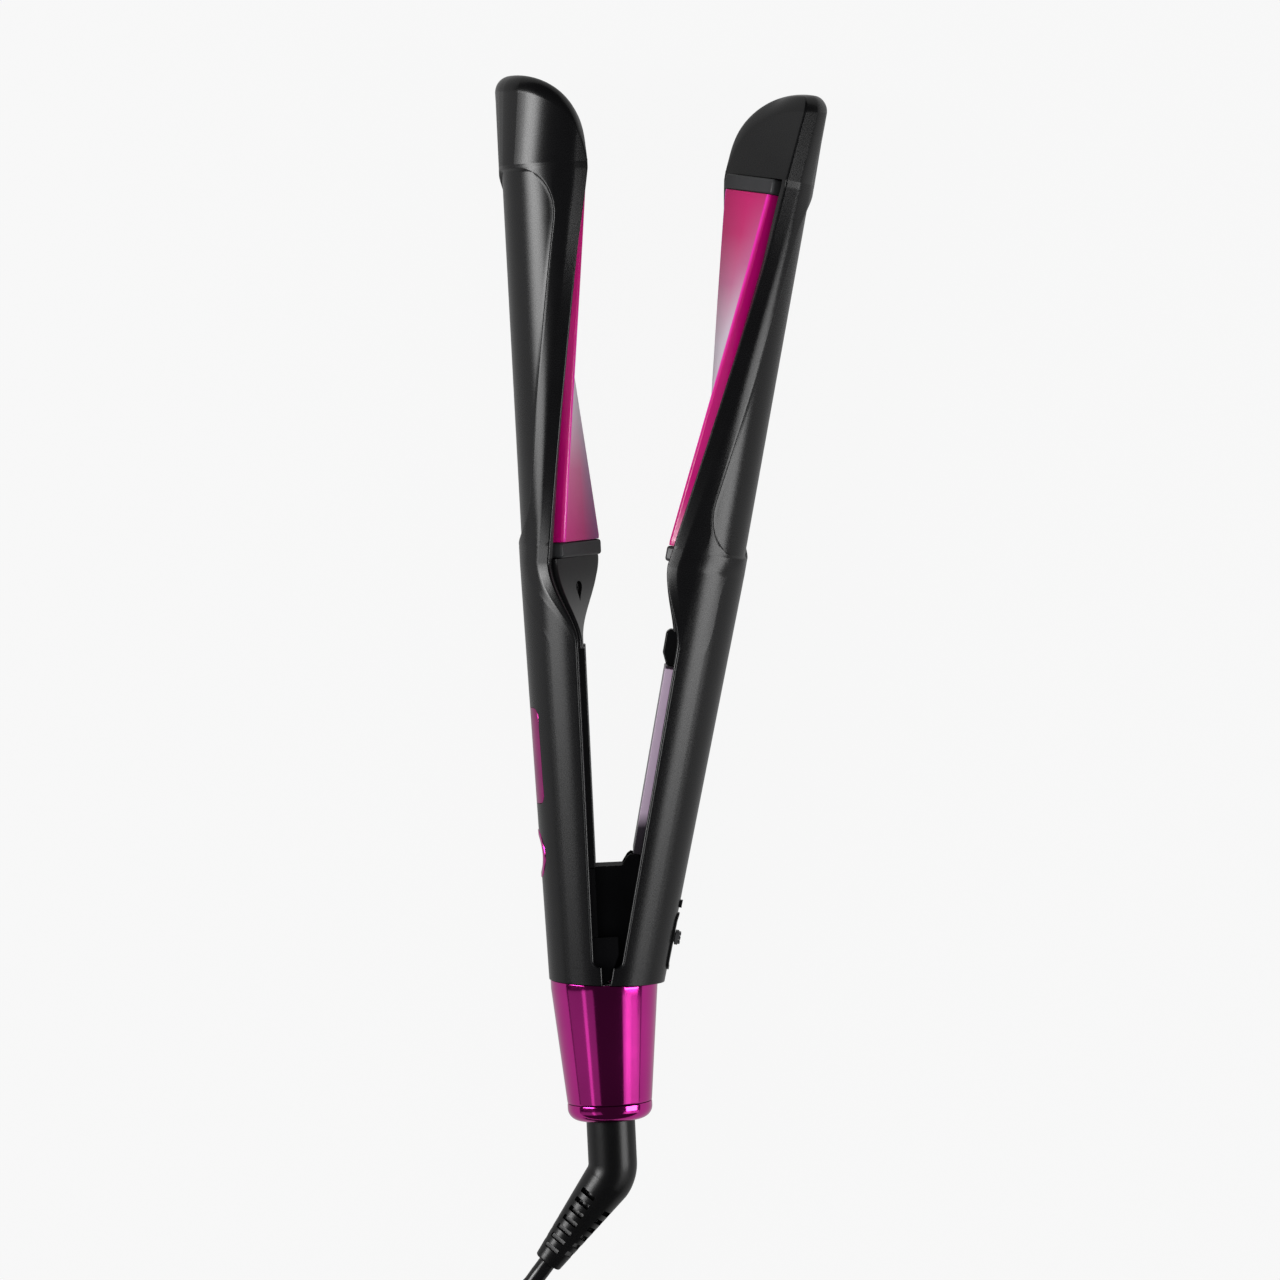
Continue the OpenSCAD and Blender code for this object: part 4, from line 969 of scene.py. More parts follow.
@dataclass
class Shell:
    """Arm shell: round grip, S-bend, twisted head with its sunk band, and closed nose."""

    side: Side
    lines: ArmLines = LINES
    border: float = 2.2
    rim_round: float = 0.55
    ridge_round: float = 15.0
    ridge_least: float = 1.2
    ridge_clear: float = 2.0
    ridge_pull: Point = (0.12, 0.35)
    ridge_steps: int = 7
    back_steps: int = 16
    flank_steps: int = 5
    inner_steps: int = 8
    past_throat: float = 3.0
    grip_steps: int = 30
    bend_steps: int = 26
    head_steps: int = 50
    nose_steps: int = 16
    slope_steps: tuple = (0, 0.3, 0.6, 0.9, 1.2, 1.7, 2.4, 3.3, 4.5, 6, 8, 10, 12.5)
    nose_shares: tuple = (0.95, 0.9, 0.8, 0.7, 0.6, 0.5, 0.4, 0.3, 0.2, 0.1, 0.01)
    nose_step: float = 0.05
    mouth_gap: float = 0.1
    mouth_soft: float = 0.25

    def outside(self, s: float) -> list[Point]:
        """Half outline from the back of the arm round its rim.

        Args:
            s: the station.

        Returns:
            Points (u, v), u along the split face and v behind it.
        """
        line = self.lines
        r = line.radius(s)
        low = r - line.band_sink(s)
        band = line.band_at(s)
        ridge = line.ridge_at(s)
        gap = line.rim_depth(s)
        rim = line.rim_half(s)
        foot = band + self.border
        polar = [(low, a) for a in spread(90, foot, self.back_steps)]
        polar += [(mix(low, r, ease(t)), mix(foot, band, t)) for t in (0.25, 0.5, 0.75)]
        share = line.head_part(s)
        bend = mix(self.ridge_least, min(self.ridge_round, band - ridge - self.ridge_clear), share)
        polar += [(r, a) for a in spread(band, ridge + bend, self.flank_steps)]
        half = [(q * math.cos(math.radians(a)), q * math.sin(math.radians(a))) for q, a in polar]
        peak = Vector((r * math.cos(math.radians(ridge)), r * math.sin(math.radians(ridge))))
        soft = self.rim_round
        shoulder = Vector((rim, gap + soft))
        before = Vector(half[-1])
        after = peak.lerp(shoulder, mix(*self.ridge_pull, share))
        for t in spread(0, 1, self.ridge_steps)[1:]:
            half.append(tuple(before.lerp(peak, t).lerp(peak.lerp(after, t), t)))
        half.append(tuple(peak.lerp(shoulder, 0.7)))
        half += arc(rim - soft, gap + soft, soft, 0, -90, 4)
        return half

    def inside(self, s: float, closed: bool) -> list[Point]:
        """Half outline of the hollow from its rim to the back, or the flat face of the nose.

        Args:
            s: the station.
            closed: whether the nose closes the hollow here.

        Returns:
            Points (u, v).
        """
        line = self.lines
        side = line.rim_half(s) - line.wall
        if closed:
            return [(u, line.nose_gap) for u in spread(side, 0, self.inner_steps)]
        r = line.radius(s) - line.band_sink(s) - line.wall
        gap = line.rim_depth(s)
        half = [(side, gap)]
        for a in spread(12, 90, self.inner_steps - 1):
            t = math.radians(a)
            half.append((min(side, r * math.cos(t)), max(gap + 1, r * math.sin(t))))
        return half

    def ring(self, s: float, closed: bool = False) -> list[Point]:
        """Whole outline of the wall across the arm.

        Args:
            s: the station.
            closed: whether the nose closes the hollow here.

        Returns:
            Points (u, v).
        """
        outer = self.outside(s)
        inner = self.inside(s, closed)
        return (outer[::-1] + [(-u, v) for u, v in outer[1:]]
                + [(-u, v) for u, v in inner] + inner[-2::-1])

    def stations(self) -> list[float]:
        """Where the rings lie: close together at the throat, the bend and the band's ends.

        Returns:
            The stations, in order.
        """
        line = self.lines
        corner = line.rim_gap - line.seam_gap
        found = [line.start, 8.0, line.throat - corner - 0.01]
        found += [line.throat - corner * math.cos(math.radians(a)) for a in spread(4, 90, 8)]
        found += spread(line.throat + self.past_throat, line.bend_start, self.grip_steps)
        found += spread(line.bend_start, line.bend_end, self.bend_steps)[1:]
        found += [line.band_start + e for e in self.slope_steps]
        found += spread(line.band_start + line.band_round, line.band_end - line.band_round,
                        self.head_steps)
        found += [line.band_end - e for e in reversed(self.slope_steps)]
        return found

    def build(self) -> bpy.types.Object:
        """Lofts the shell and closes its nose.

        Returns:
            The shell, without its openings.
        """
        line = self.lines
        end = line.nose_start
        rings = [[line.set_out(u, v, s, line.twist(s)) for u, v in self.ring(s)]
                 for s in self.stations()]
        rings.append([line.set_out(u, v, end - self.nose_step, -line.twist_top)
                      for u, v in self.ring(end)])
        nose = self.ring(end, closed=True)
        rings.append([line.set_out(u, v, end, -line.twist_top) for u, v in nose])
        turns = [(a, 1.0) for a in spread(0, 90, self.nose_steps)]
        turns += [(90, share) for share in self.nose_shares]
        rings += [[line.nose_point(u, v, a, share) for u, v in nose] for a, share in turns]
        solid = Solid().loft(rings)
        mouth = mouth_plane(self.mouth_gap)
        if self.side is Side.MOVING:
            mouth = Matrix.Rotation(math.pi, 4, "Y") @ Matrix.Rotation(OPEN_ANGLE, 4, "Z") @ mouth
        solid.trim(mouth.to_translation(), mouth.to_3x3() @ Vector((0, -1, 0)), self.mouth_soft)
        return solid.to_object(f"{self.side.value}_arm_shell", self.side.pose)

    def finish(self, piece: bpy.types.Object) -> None:
        """Smooths and dresses the shell after its openings are cut."""
        smooth(piece, angle=50)
        dress(piece, self.side.value, SATIN, [f"{self.side.value}_shell"])


@dataclass
class Plates:
    """What lies on and behind an arm's styling plate."""

    side: Side
    lines: ArmLines = LINES
    width: float = 22.0
    thickness: float = 4.4
    gap: float = 0.18
    corner: float = 1.2
    bar_len: float = 4.4
    bar_w: float = 22.6
    bar_gap: float = 0.4
    bar_past: float = 1.2
    bar_edge: float = 0.9
    lip: float = 0.25
    lip_len: float = 0.8
    seat: float = 0.1

    def plate(self) -> None:
        """The coated plate, with its place along and across stored for the coating."""
        line = self.lines
        w = self.width / 2
        r = self.corner
        g = self.gap
        face = [(mix(-w + r, w - r, k / 8), g) for k in range(1, 8)]
        outline = (arc(-w + r, g + r, r, 180, 270, 6) + face + arc(w - r, g + r, r, 270, 360, 6)
                   + [(w, g + self.thickness), (-w, g + self.thickness)])
        end = line.plate_start + line.plate_len
        rings = []
        for s in spread(line.plate_start, end, 96):
            lip = self.lip * max(0.0, 1 - min(s - line.plate_start, end - s) / self.lip_len)
            rings.append([line.set_out(u * (1 - lip / w), max(v, g + lip), s, line.plate_twist(s))
                          for u, v in outline])
        solid = Solid().loft(rings)
        for vert in solid.bm.verts:
            vert[solid.across] = outline[vert[solid.order]][0] / w
        arm = self.side.value
        solid.to_piece(f"{arm}_styling_plate", self.side.pose, arm, PLATE, f"{arm}_plate", 45)

    def bar(self, s0: float, end: str) -> None:
        """Insulating bar at one end of the plate, with softened edges.

        Args:
            s0: where it starts.
            end: low or top, as in its name.
        """
        low = Vector((-self.gap - self.thickness - self.bar_past, s0, -self.bar_w / 2))
        high = Vector((-self.bar_gap, s0 + self.bar_len, self.bar_w / 2))
        turn = Matrix.Rotation(-math.radians(self.lines.plate_twist(s0 + self.bar_len / 2)), 4, "Y")
        solid = Solid().block(low, high, 0, self.bar_edge).transform(turn)
        arm = self.side.value
        solid.to_piece(f"{arm}_{end}_bar", self.side.pose, arm, BAR, f"{arm}_bar_{end}")

    def behind(self) -> None:
        """Carrier, heater and clamp, which the shell hides."""
        arm = self.side.value
        for part, finish in (("carrier", MOULDING), ("heater", CERAMIC), ("clamp", STEEL)):
            dressed_copy(f"{arm}_{part}", f"{arm}_plate_{part}", arm, finish)

    def build(self) -> None:
        """Makes all the pieces."""
        self.plate()
        self.bar(self.lines.plate_start - self.seat - self.bar_len, "low")
        self.bar(self.lines.plate_start + self.lines.plate_len + self.seat, "top")
        self.behind()


@dataclass
class NeckCover:
    """Cover beside the S-bend, with its teardrop recess and the screw in it."""

    side: Side
    start: float
    lines: ArmLines = LINES
    proud: float = 1.1
    thickness: float = 2.2
    fit: float = 0.3
    end: float = 126.7
    chamfer: float = 0.9
    deepest: float = 1.5
    screw_s: float = 118.0
    screw_r: float = 1.7
    screw_h: float = 0.6
    screw_sunk: float = 0.7
    cross_half: Point = (1.1, 0.22)
    cross_deep: float = 0.35
    drop_r: float = 1.9
    drop_len: float = 3.8
    drop_wide: float = 1.3
    drop_deep: float = 1.3
    drop_tip: float = 0.2
    drop_open: float = 20.0
    cut_high: float = 6.0

    def chord(self, s: float) -> float:
        """Half width between the shell's inner walls at the cover's deepest edge."""
        line = self.lines
        depth = line.rim_depth(s) + self.deepest
        return math.sqrt((line.radius(s) - line.wall) ** 2 - depth ** 2) - self.fit

    def ring(self, s: float) -> list[Vector]:
        """Outline of the cover.

        Args:
            s: the station.

        Returns:
            Its points, drawn on the fixed arm.
        """
        line = self.lines
        w = self.chord(s)
        if s >= line.bend_start:
            w = min(line.rim_half(s) - line.wall - self.fit, w)
        g = line.rim_depth(s) - self.proud
        c = self.chamfer
        outline = [(w, g + self.thickness), (-w, g + self.thickness)]
        outline += arc(-w + c, g + c, c, 180, 270, 5)
        outline += [(mix(-w + c, w - c, k / 8), g) for k in range(1, 8)]
        outline += arc(w - c, g + c, c, 270, 360, 5)
        return [line.set_out(u, v, s, line.twist(s)) for u, v in outline]

    @property
    def face(self) -> float:
        """Depth of the cover's face at its screw."""
        return self.lines.rim_depth(self.screw_s) - self.proud

    @property
    def turn(self) -> Matrix:
        """Turn of the cover at its screw."""
        return Matrix.Rotation(-math.radians(self.lines.twist(self.screw_s)), 4, "Y")

    def teardrop(self) -> bpy.types.Object:
        """Cutter of the recess: a round with a point towards the hinge.

        Returns:
            The cutter.
        """
        solid = Solid()
        end = -self.drop_len
        tip = self.drop_tip
        outline = arc(0, 0, self.drop_r, -self.drop_open, 180 + self.drop_open, 24)
        outline += [(-tip, end + tip), (0, end), (tip, end + tip)]
        face = solid.bm.faces.new([
            solid.bm.verts.new((-self.face - self.drop_deep, self.screw_s + y, x * self.drop_wide))
            for x, y in outline])
        grown = bmesh.ops.extrude_face_region(solid.bm, geom=[face])["geom"]
        tops = [g for g in grown if isinstance(g, bmesh.types.BMVert)]
        bmesh.ops.translate(solid.bm, vec=(self.cut_high, 0, 0), verts=tops)
        return solid.transform(self.turn).to_object("teardrop_cutter", self.side.pose)

    def screw(self) -> None:
        """Cross-headed screw at the bottom of the recess."""
        r = self.screw_r
        h = self.screw_h
        spot = Matrix.Translation((-self.face - self.screw_sunk, self.screw_s, 0))
        pose = self.side.pose @ self.turn @ spot @ Matrix.Rotation(math.pi / 2, 4, "Z")
        solid = Solid().turn([(0, 0), (r - 0.15, 0), (r, 0.12), (r, h), (0, h)], 32)
        piece = solid.to_object(f"{self.side.value}_neck_screw", pose)
        length, half = self.cross_half
        cross = []
        for angle in (0, 90):
            arm = Solid().block(Vector((-length, -1, -half)), Vector((length, self.cross_deep, half)))
            arm.transform(Matrix.Rotation(math.radians(angle), 4, "Y"))
            cross.append(arm.to_object("cross_cutter", pose))
        combine(piece, cross)
        smooth(piece)
        nodes = ["fixed_screws"] if self.side is Side.FIXED else []
        dress(piece, self.side.value, BLACKENED, nodes)

    def build(self) -> None:
        """Lofts the cover, cuts its recess and adds its screw."""
        rings = [self.ring(s) for s in spread(self.start, self.end, 30)]
        arm = self.side.value
        piece = Solid().loft(rings).to_object(f"{arm}_bend_cover", self.side.pose)
        combine(piece, [self.teardrop()])
        smooth(piece, angle=45)
        dress(piece, arm, MOULDING, [f"{arm}_neck_cover"])
        self.screw()


@dataclass
class GripCovers:
    """Inner covers of the two grips, and the alignment post."""

    edge: float = 0.35
    post_edge: float = 0.5

    def build(self) -> None:
        """Copies the pieces with rounded edges, and stores the fade along the mauve cover."""
        dressed_copy("alignment_post", "guide_post", "moving", MOULDING, self.post_edge)
        dressed_copy("fixed_cover", "fixed_grip_cover", "fixed", MOULDING, self.edge)
        piece = soft_copy("moving_cover", "moving_grip_cover", self.edge)
        low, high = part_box("moving_cover")
        share = piece.data.attributes["along"]
        for k, vert in enumerate(piece.data.vertices):
            share.data[k].value = (vert.co.y - low.y) / (high.y - low.y)
        dress(piece, "moving", MAUVE, ["moving_cover"])


# ---------- controls ----------


@dataclass
class Controls:
    """Display window, power button and its ring, on the fixed arm's back."""

    lines: ArmLines = LINES
    window_start: float = 58.0
    window_len: float = 27.0
    window_w: float = 16.8
    window_round: float = 2.5
    window_t: float = 1.6
    window_soft: float = 0.3
    button_s: float = 43.5
    ring_r: float = 6.9
    ring_proud: float = 0.2
    ring_edge: float = 0.3
    ring_deep: float = 2.2
    button_r: float = 5.0
    button_sunk: float = 0.5
    button_edge: float = 0.35
    dish: float = 0.55
    flange_r: float = 6.15
    flange_deep: float = 3.6
    flange_t: float = 1.2
    below: float = 1.15
    play: float = 0.2
    seat: float = 0.1

    @property
    def button_face(self) -> float:
        """Depth of the button's rim behind the split face."""
        return self.lines.radius(self.button_s) - self.below

    def window_cutter(self) -> bpy.types.Object:
        """Opening for the window in the shell."""
        s = self.seat
        low = Vector((-CUT_TO, self.window_start - s, -self.window_w / 2 - s))
        high = Vector((-CUT_FROM, self.window_start + self.window_len + s, self.window_w / 2 + s))
        return Solid().block(low, high, self.window_round + s).to_object("window_cutter", IRON_POSE)

    def button_cutter(self) -> bpy.types.Object:
        """Opening for the button's ring in the shell."""
        r = self.ring_r + self.seat
        solid = Solid().turn([(0, CUT_FROM), (r, CUT_FROM), (r, CUT_TO), (0, CUT_TO)], 64)
        return solid.transform(self.button_turn()).to_object("button_cutter", IRON_POSE)

    def button_turn(self) -> Matrix:
        """Turns a piece spun about Y so that it points out of the back at the button."""
        return Matrix.Translation((0, self.button_s, 0)) @ Matrix.Rotation(math.pi / 2, 4, "Z")

    def window(self) -> None:
        """The curved window, flat-made with rounded corners and then bent round the barrel."""
        low = Vector((-self.window_t, self.window_start, -self.window_w / 2))
        high = Vector((0, self.window_start + self.window_len, self.window_w / 2))
        solid = Solid().block(low, high, self.window_round, self.window_soft)
        solid.slice(2, low.z, high.z, 20).slice(1, low.y, high.y, 6)
        solid.bend(self.lines.wrap)
        solid.to_piece("display_glass", IRON_POSE, "fixed", WINDOW, "display_window")

    def follow(self, height: float) -> Callable[[Vector], Vector]:
        """Lays a piece's upper face along the barrel and keeps its lower part as it is.

        Args:
            height: the face's height over the barrel.

        Returns:
            The move, for Solid.bend.
        """
        def move(p: Vector) -> Vector:
            """Keeps the lower part where it is."""
            over = -p.x - self.button_face
            return self.lines.on_barrel(height + over, p.y, p.z) if over > -1 else p
        return move

    def ring(self) -> None:
        """Bright ring round the button."""
        face = self.button_face
        edge = self.ring_edge
        bore = self.button_r + self.play
        low = face - self.ring_deep
        outline = [(bore, low), (self.ring_r, low), (self.ring_r, face - edge)]
        outline += arc(self.ring_r - edge, face - edge, edge, 0, 90, 4)
        outline += arc(bore + edge, face - edge, edge, 90, 180, 4)
        solid = Solid().turn(outline, 96).transform(self.button_turn())
        solid.bend(self.follow(self.ring_proud))
        solid.to_piece("button_bezel", IRON_POSE, "fixed", CHROME, "button_ring")

    def button(self) -> None:
        """Dished button."""
        face = self.button_face
        r = self.button_r
        edge = self.button_edge
        low = face - self.flange_deep
        top = low + self.flange_t
        outline = [(0, low), (self.flange_r, low), (self.flange_r, top), (r, top), (r, face - edge)]
        outline += arc(r - edge, face - edge, edge, 0, 90, 4)[1:]
        outline += [((r - 0.5) * t, face - 0.02 - self.dish * (1 - t * t)) for t in spread(1, 0, 10)]
        solid = Solid().turn(outline, 96).transform(self.button_turn())
        solid.bend(self.follow(-self.button_sunk))
        solid.to_piece("button_cap", IRON_POSE, "button", BUTTON, "power_button")

    def inner(self) -> None:
        """Display module, board and switch inside the grip."""
        for node, name, finish in (("display_module", "display_block", CERAMIC),
                                   ("circuit_board", "control_board", BOARD),
                                   ("power_switch", "tact_switch", KNOB)):
            dressed_copy(node, name, "fixed", finish, 0.1)

    def build(self) -> None:
        """Makes all the pieces."""
        self.window()
        self.ring()
        self.button()
        self.inner()


@dataclass
class Lock:
    """Lock slide on the moving arm's back: track, knob, pip, stem and tooth."""

    lines: ArmLines = LINES
    track_start: float = 12.7
    track_len: float = 16.3
    track_w: float = 8.0
    track_out: float = 0.5
    track_t: float = 1.3
    knob_s: float = 22.0
    travel: float = 5.0
    stem_len: float = 2.8
    stem_w: float = 3.0
    end_play: float = 0.4
    side_play: float = 0.3
    slot_round: float = 0.5
    track_round: float = 3.0
    track_clear: float = 4.0
    pip_over: float = 2.6
    pip_half: Point = (1.1, 1.7)
    pip_deep: Point = (-0.6, 0.7)
    pip_round: float = 1.0
    pip_soft: float = 0.3
    seat: float = 0.1

    def cutters(self) -> list[bpy.types.Object]:
        """Sunk seat of the track and slot of the stem, in the shell.

        Returns:
            Their cutters.
        """
        s = self.seat
        half = self.track_w / 2 + s
        low = Vector((self.track_out - self.track_t - s, self.track_start - s, -half))
        high = Vector((self.track_clear, self.track_start + self.track_len + s, half))
        sunk = Solid().block(low, high, self.track_round).slice(2, low.z, high.z, 12)
        sunk.bend(self.lines.wrap)
        reach = self.stem_len / 2 + self.end_play
        half = self.stem_w / 2 + self.side_play
        slot = Solid().block(Vector((-CUT_TO, self.knob_s - self.travel - reach, -half)),
                             Vector((-CUT_FROM, self.knob_s + reach, half)), self.slot_round)
        pose = Side.MOVING.pose
        return [sunk.to_object("track_cutter", pose), slot.to_object("slot_cutter", pose)]

    def pip(self) -> None:
        """Small raised pip above the track."""
        s = self.track_start + self.track_len + self.pip_over
        long, wide = self.pip_half
        foot, top = self.pip_deep
        solid = Solid().block(Vector((foot, s - long, -wide)), Vector((top, s + long, wide)),
                              self.pip_round, self.pip_soft)
        solid.bend(self.lines.wrap)
        solid.to_piece("lock_pip", Side.MOVING.pose, "moving", SATIN)

    def build(self) -> None:
        """Makes all the pieces."""
        dressed_copy("lock_track", "lock_rail", "moving", MOULDING, 0.12)
        dressed_copy("lock_knob", "lock_thumb", "lock", KNOB, 0.22)
        dressed_copy("lock_hook", "lock_catch", "lock", STEEL, 0.1)
        self.pip()


# ---------- hinge and tail ----------


@dataclass
class Hinge:
    """Steel hinge and throat web, with softened edges, and the opening spring."""

    spring_r: float = 3.4
    wire: float = 0.45
    low: float = 2.2
    high: float = 6.9
    peg: Point = (7.4, 7.6)
    peg_r: float = 0.8
    peg_play: float = 0.1
    leg_b: float = 122.0
    leg_a_len: float = 10.5
    leg_b_len: float = 7.6
    leg_free: float = 8.5
    leg_shares: tuple = (1, 0.6, 0.3, 0.1)
    turns: int = 3
    rings: int = 36
    screw_spot: Point = (-9.8, 30)
    screw_outline: tuple = ((0, 0), (1.7, 0), (1.9, 0.15), (1.9, 0.6), (1.0, 0.6), (1.0, 3.3),
                            (0, 3.5))

    def spring_points(self) -> list[Vector]:
        """The spring's wire: a leg on the peg, three turns and a leg on the fork.

        Returns:
            Points of the wire, the leg on the peg first.
        """
        c, s = math.cos(OPEN_ANGLE), math.sin(OPEN_ANGLE)
        peg = Vector((self.peg[0] * c + self.peg[1] * s, self.peg[1] * c - self.peg[0] * s))
        off = self.spring_r + self.wire + self.peg_r + self.peg_play
        leg_a = math.degrees(math.atan2(peg.y, peg.x) + math.asin(off / peg.length))
        start = leg_a - 90
        sweep = start - (self.leg_b + 90 - 360) + self.turns * 360
        count = round(sweep / 360 * self.rings)

        def on_turn(angle: float, z: float, out: float = 0, way: float = 0) -> Vector:
            """Point of a turn, or of the leg that leaves it."""
            a = math.radians(angle)
            b = math.radians(way)
            return Vector((self.spring_r * math.cos(a) + out * math.cos(b),
                           self.spring_r * math.sin(a) + out * math.sin(b), z))

        points = [on_turn(start, self.low, t * self.leg_a_len, leg_a) for t in self.leg_shares]
        points += [on_turn(start - sweep * k / count, mix(self.low, self.high, k / count))
                   for k in range(count + 1)]
        points += [on_turn(self.leg_b + 90, self.high, t * self.leg_b_len, self.leg_b)
                   for t in reversed(self.leg_shares)]
        return points

    def spring(self) -> None:
        """Opening spring, whose free leg lies beside the link's peg."""
        points = self.spring_points()
        piece = tube(points, [self.wire] * len(points), 12).to_object("torsion_spring", IRON_POSE)
        smooth(piece)
        piece.data.materials.clear()
        piece.data.materials.append(STEEL.material())
        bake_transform(piece)
        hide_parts("opening_spring")

    def screw(self) -> None:
        """Screw that holds the link's strap to the moving shell."""
        solid = Solid().turn(self.screw_outline, 32)
        seat = Matrix.Translation((*self.screw_spot, 0)) @ Matrix.Rotation(math.pi / 2, 4, "Z")
        solid.to_piece("link_screw", Side.MOVING.pose @ seat, "moving", STEEL, "moving_screws")

    def build(self) -> None:
        """Makes all the pieces."""
        for node, name, body, edge in (("throat_web", "throat_fins", "fixed", 0.3),
                                       ("hinge_fork", "steel_fork", "fixed", 0.2),
                                       ("hinge_pin", "pivot_pin", "fixed", 0.2),
                                       ("hinge_washers", "pivot_washer", "fixed", 0),
                                       ("hinge_link", "steel_link", "moving", 0.2)):
            dressed_copy(node, name, body, THROAT if node == "throat_web" else STEEL, edge)
        self.screw()
        self.spring()


def tube(points: Sequence[Vector], radii: Sequence[float], sides: int) -> Solid:
    """Round tube along a path, its section carried from ring to ring without turning.

    Args:
        points: the path.
        radii: the tube's radius at each point.
        sides: corners of its section.

    Returns:
        The closed tube.
    """
    side = Vector((0, 0, 1))
    rings = []
    for k, here in enumerate(points):
        way = (points[min(k + 1, len(points) - 1)] - points[max(k - 1, 0)]).normalized()
        side = (side - side.dot(way) * way).normalized()
        other = way.cross(side)
        rings.append([here + radii[k] * (math.cos(a) * side + math.sin(a) * other)
                      for a in spread(0, 2 * math.pi, sides)[:-1]])
    return Solid().loft(rings)


@dataclass
class Tail:
    """Bright tail cone, its end ring and the swivel's retainer."""

    mouth_r: float = 15.1
    end_r: float = 12.0
    drop: float = 27.7
    wall: float = 1.8
    ring_len: float = 5.0
    ring_round: float = 3.4
    bore_r: float = 6.96
    past_mouth: float = 4.5
    spigot_len: float = 2.6
    spigot_wall: float = 1.2
    seat: float = 0.1

    def cone(self) -> None:
        """The cone, with rolled edges."""
        r0 = self.mouth_r
        r1 = self.end_r
        y1 = -self.drop
        y0 = LINES.start
        top = y0 + self.past_mouth
        outline = [(r0 - self.wall, y0), (r0 - self.wall, top), (r0, top)]
        outline += [(mix(r0, r1, t), mix(y0, y1 + 0.2, t)) for t in spread(0, 0.99, 12)]
        outline += [(r1, y1 + 0.2), (r1 - 0.08, y1 + 0.06), (r1 - 0.25, y1), (r1 - self.wall, y1)]
        mouth = mouth_plane(0)
        solid = Solid().turn(outline, 180)
        solid.trim(mouth.to_translation(), mouth.to_3x3() @ Vector((0, 1, 0)), 0.3)
        solid.to_piece("tail_cone_shell", IRON_POSE, "fixed", CHROME, "tail_cone")

    def ring(self) -> None:
        """The end ring, round at its lower edge, with its spigot in the cone."""
        y0 = -self.drop
        y1 = y0 - self.ring_len
        end = self.end_r
        spigot = end - self.wall - self.seat
        bore = spigot - self.spigot_wall
        top = y0 + self.spigot_len
        soft = self.ring_round
        outline = [(self.bore_r, y0 - 0.2), (self.bore_r, y1 + 0.3), (self.bore_r + 0.3, y1)]
        outline += arc(end - soft, y1 + soft, soft, 270, 360, 14)
        outline += [(end, y0 - 0.45), (end - 0.1, y0 - 0.2), (end - 0.3, y0 - 0.1),
                    (spigot, y0 - 0.1), (spigot, top), (bore, top), (bore, y0 - 0.2)]
        solid = Solid().turn(outline, 180)
        solid.to_piece("tail_end_ring", IRON_POSE, "fixed", CHROME, "tail_ring")

    def build(self) -> None:
        """Makes all the pieces."""
        self.cone()
        self.ring()
        dressed_copy("swivel_retainer", "swivel_washer", "fixed", MOULDING, 0.2)


# ---------- strain relief, cord and plug ----------


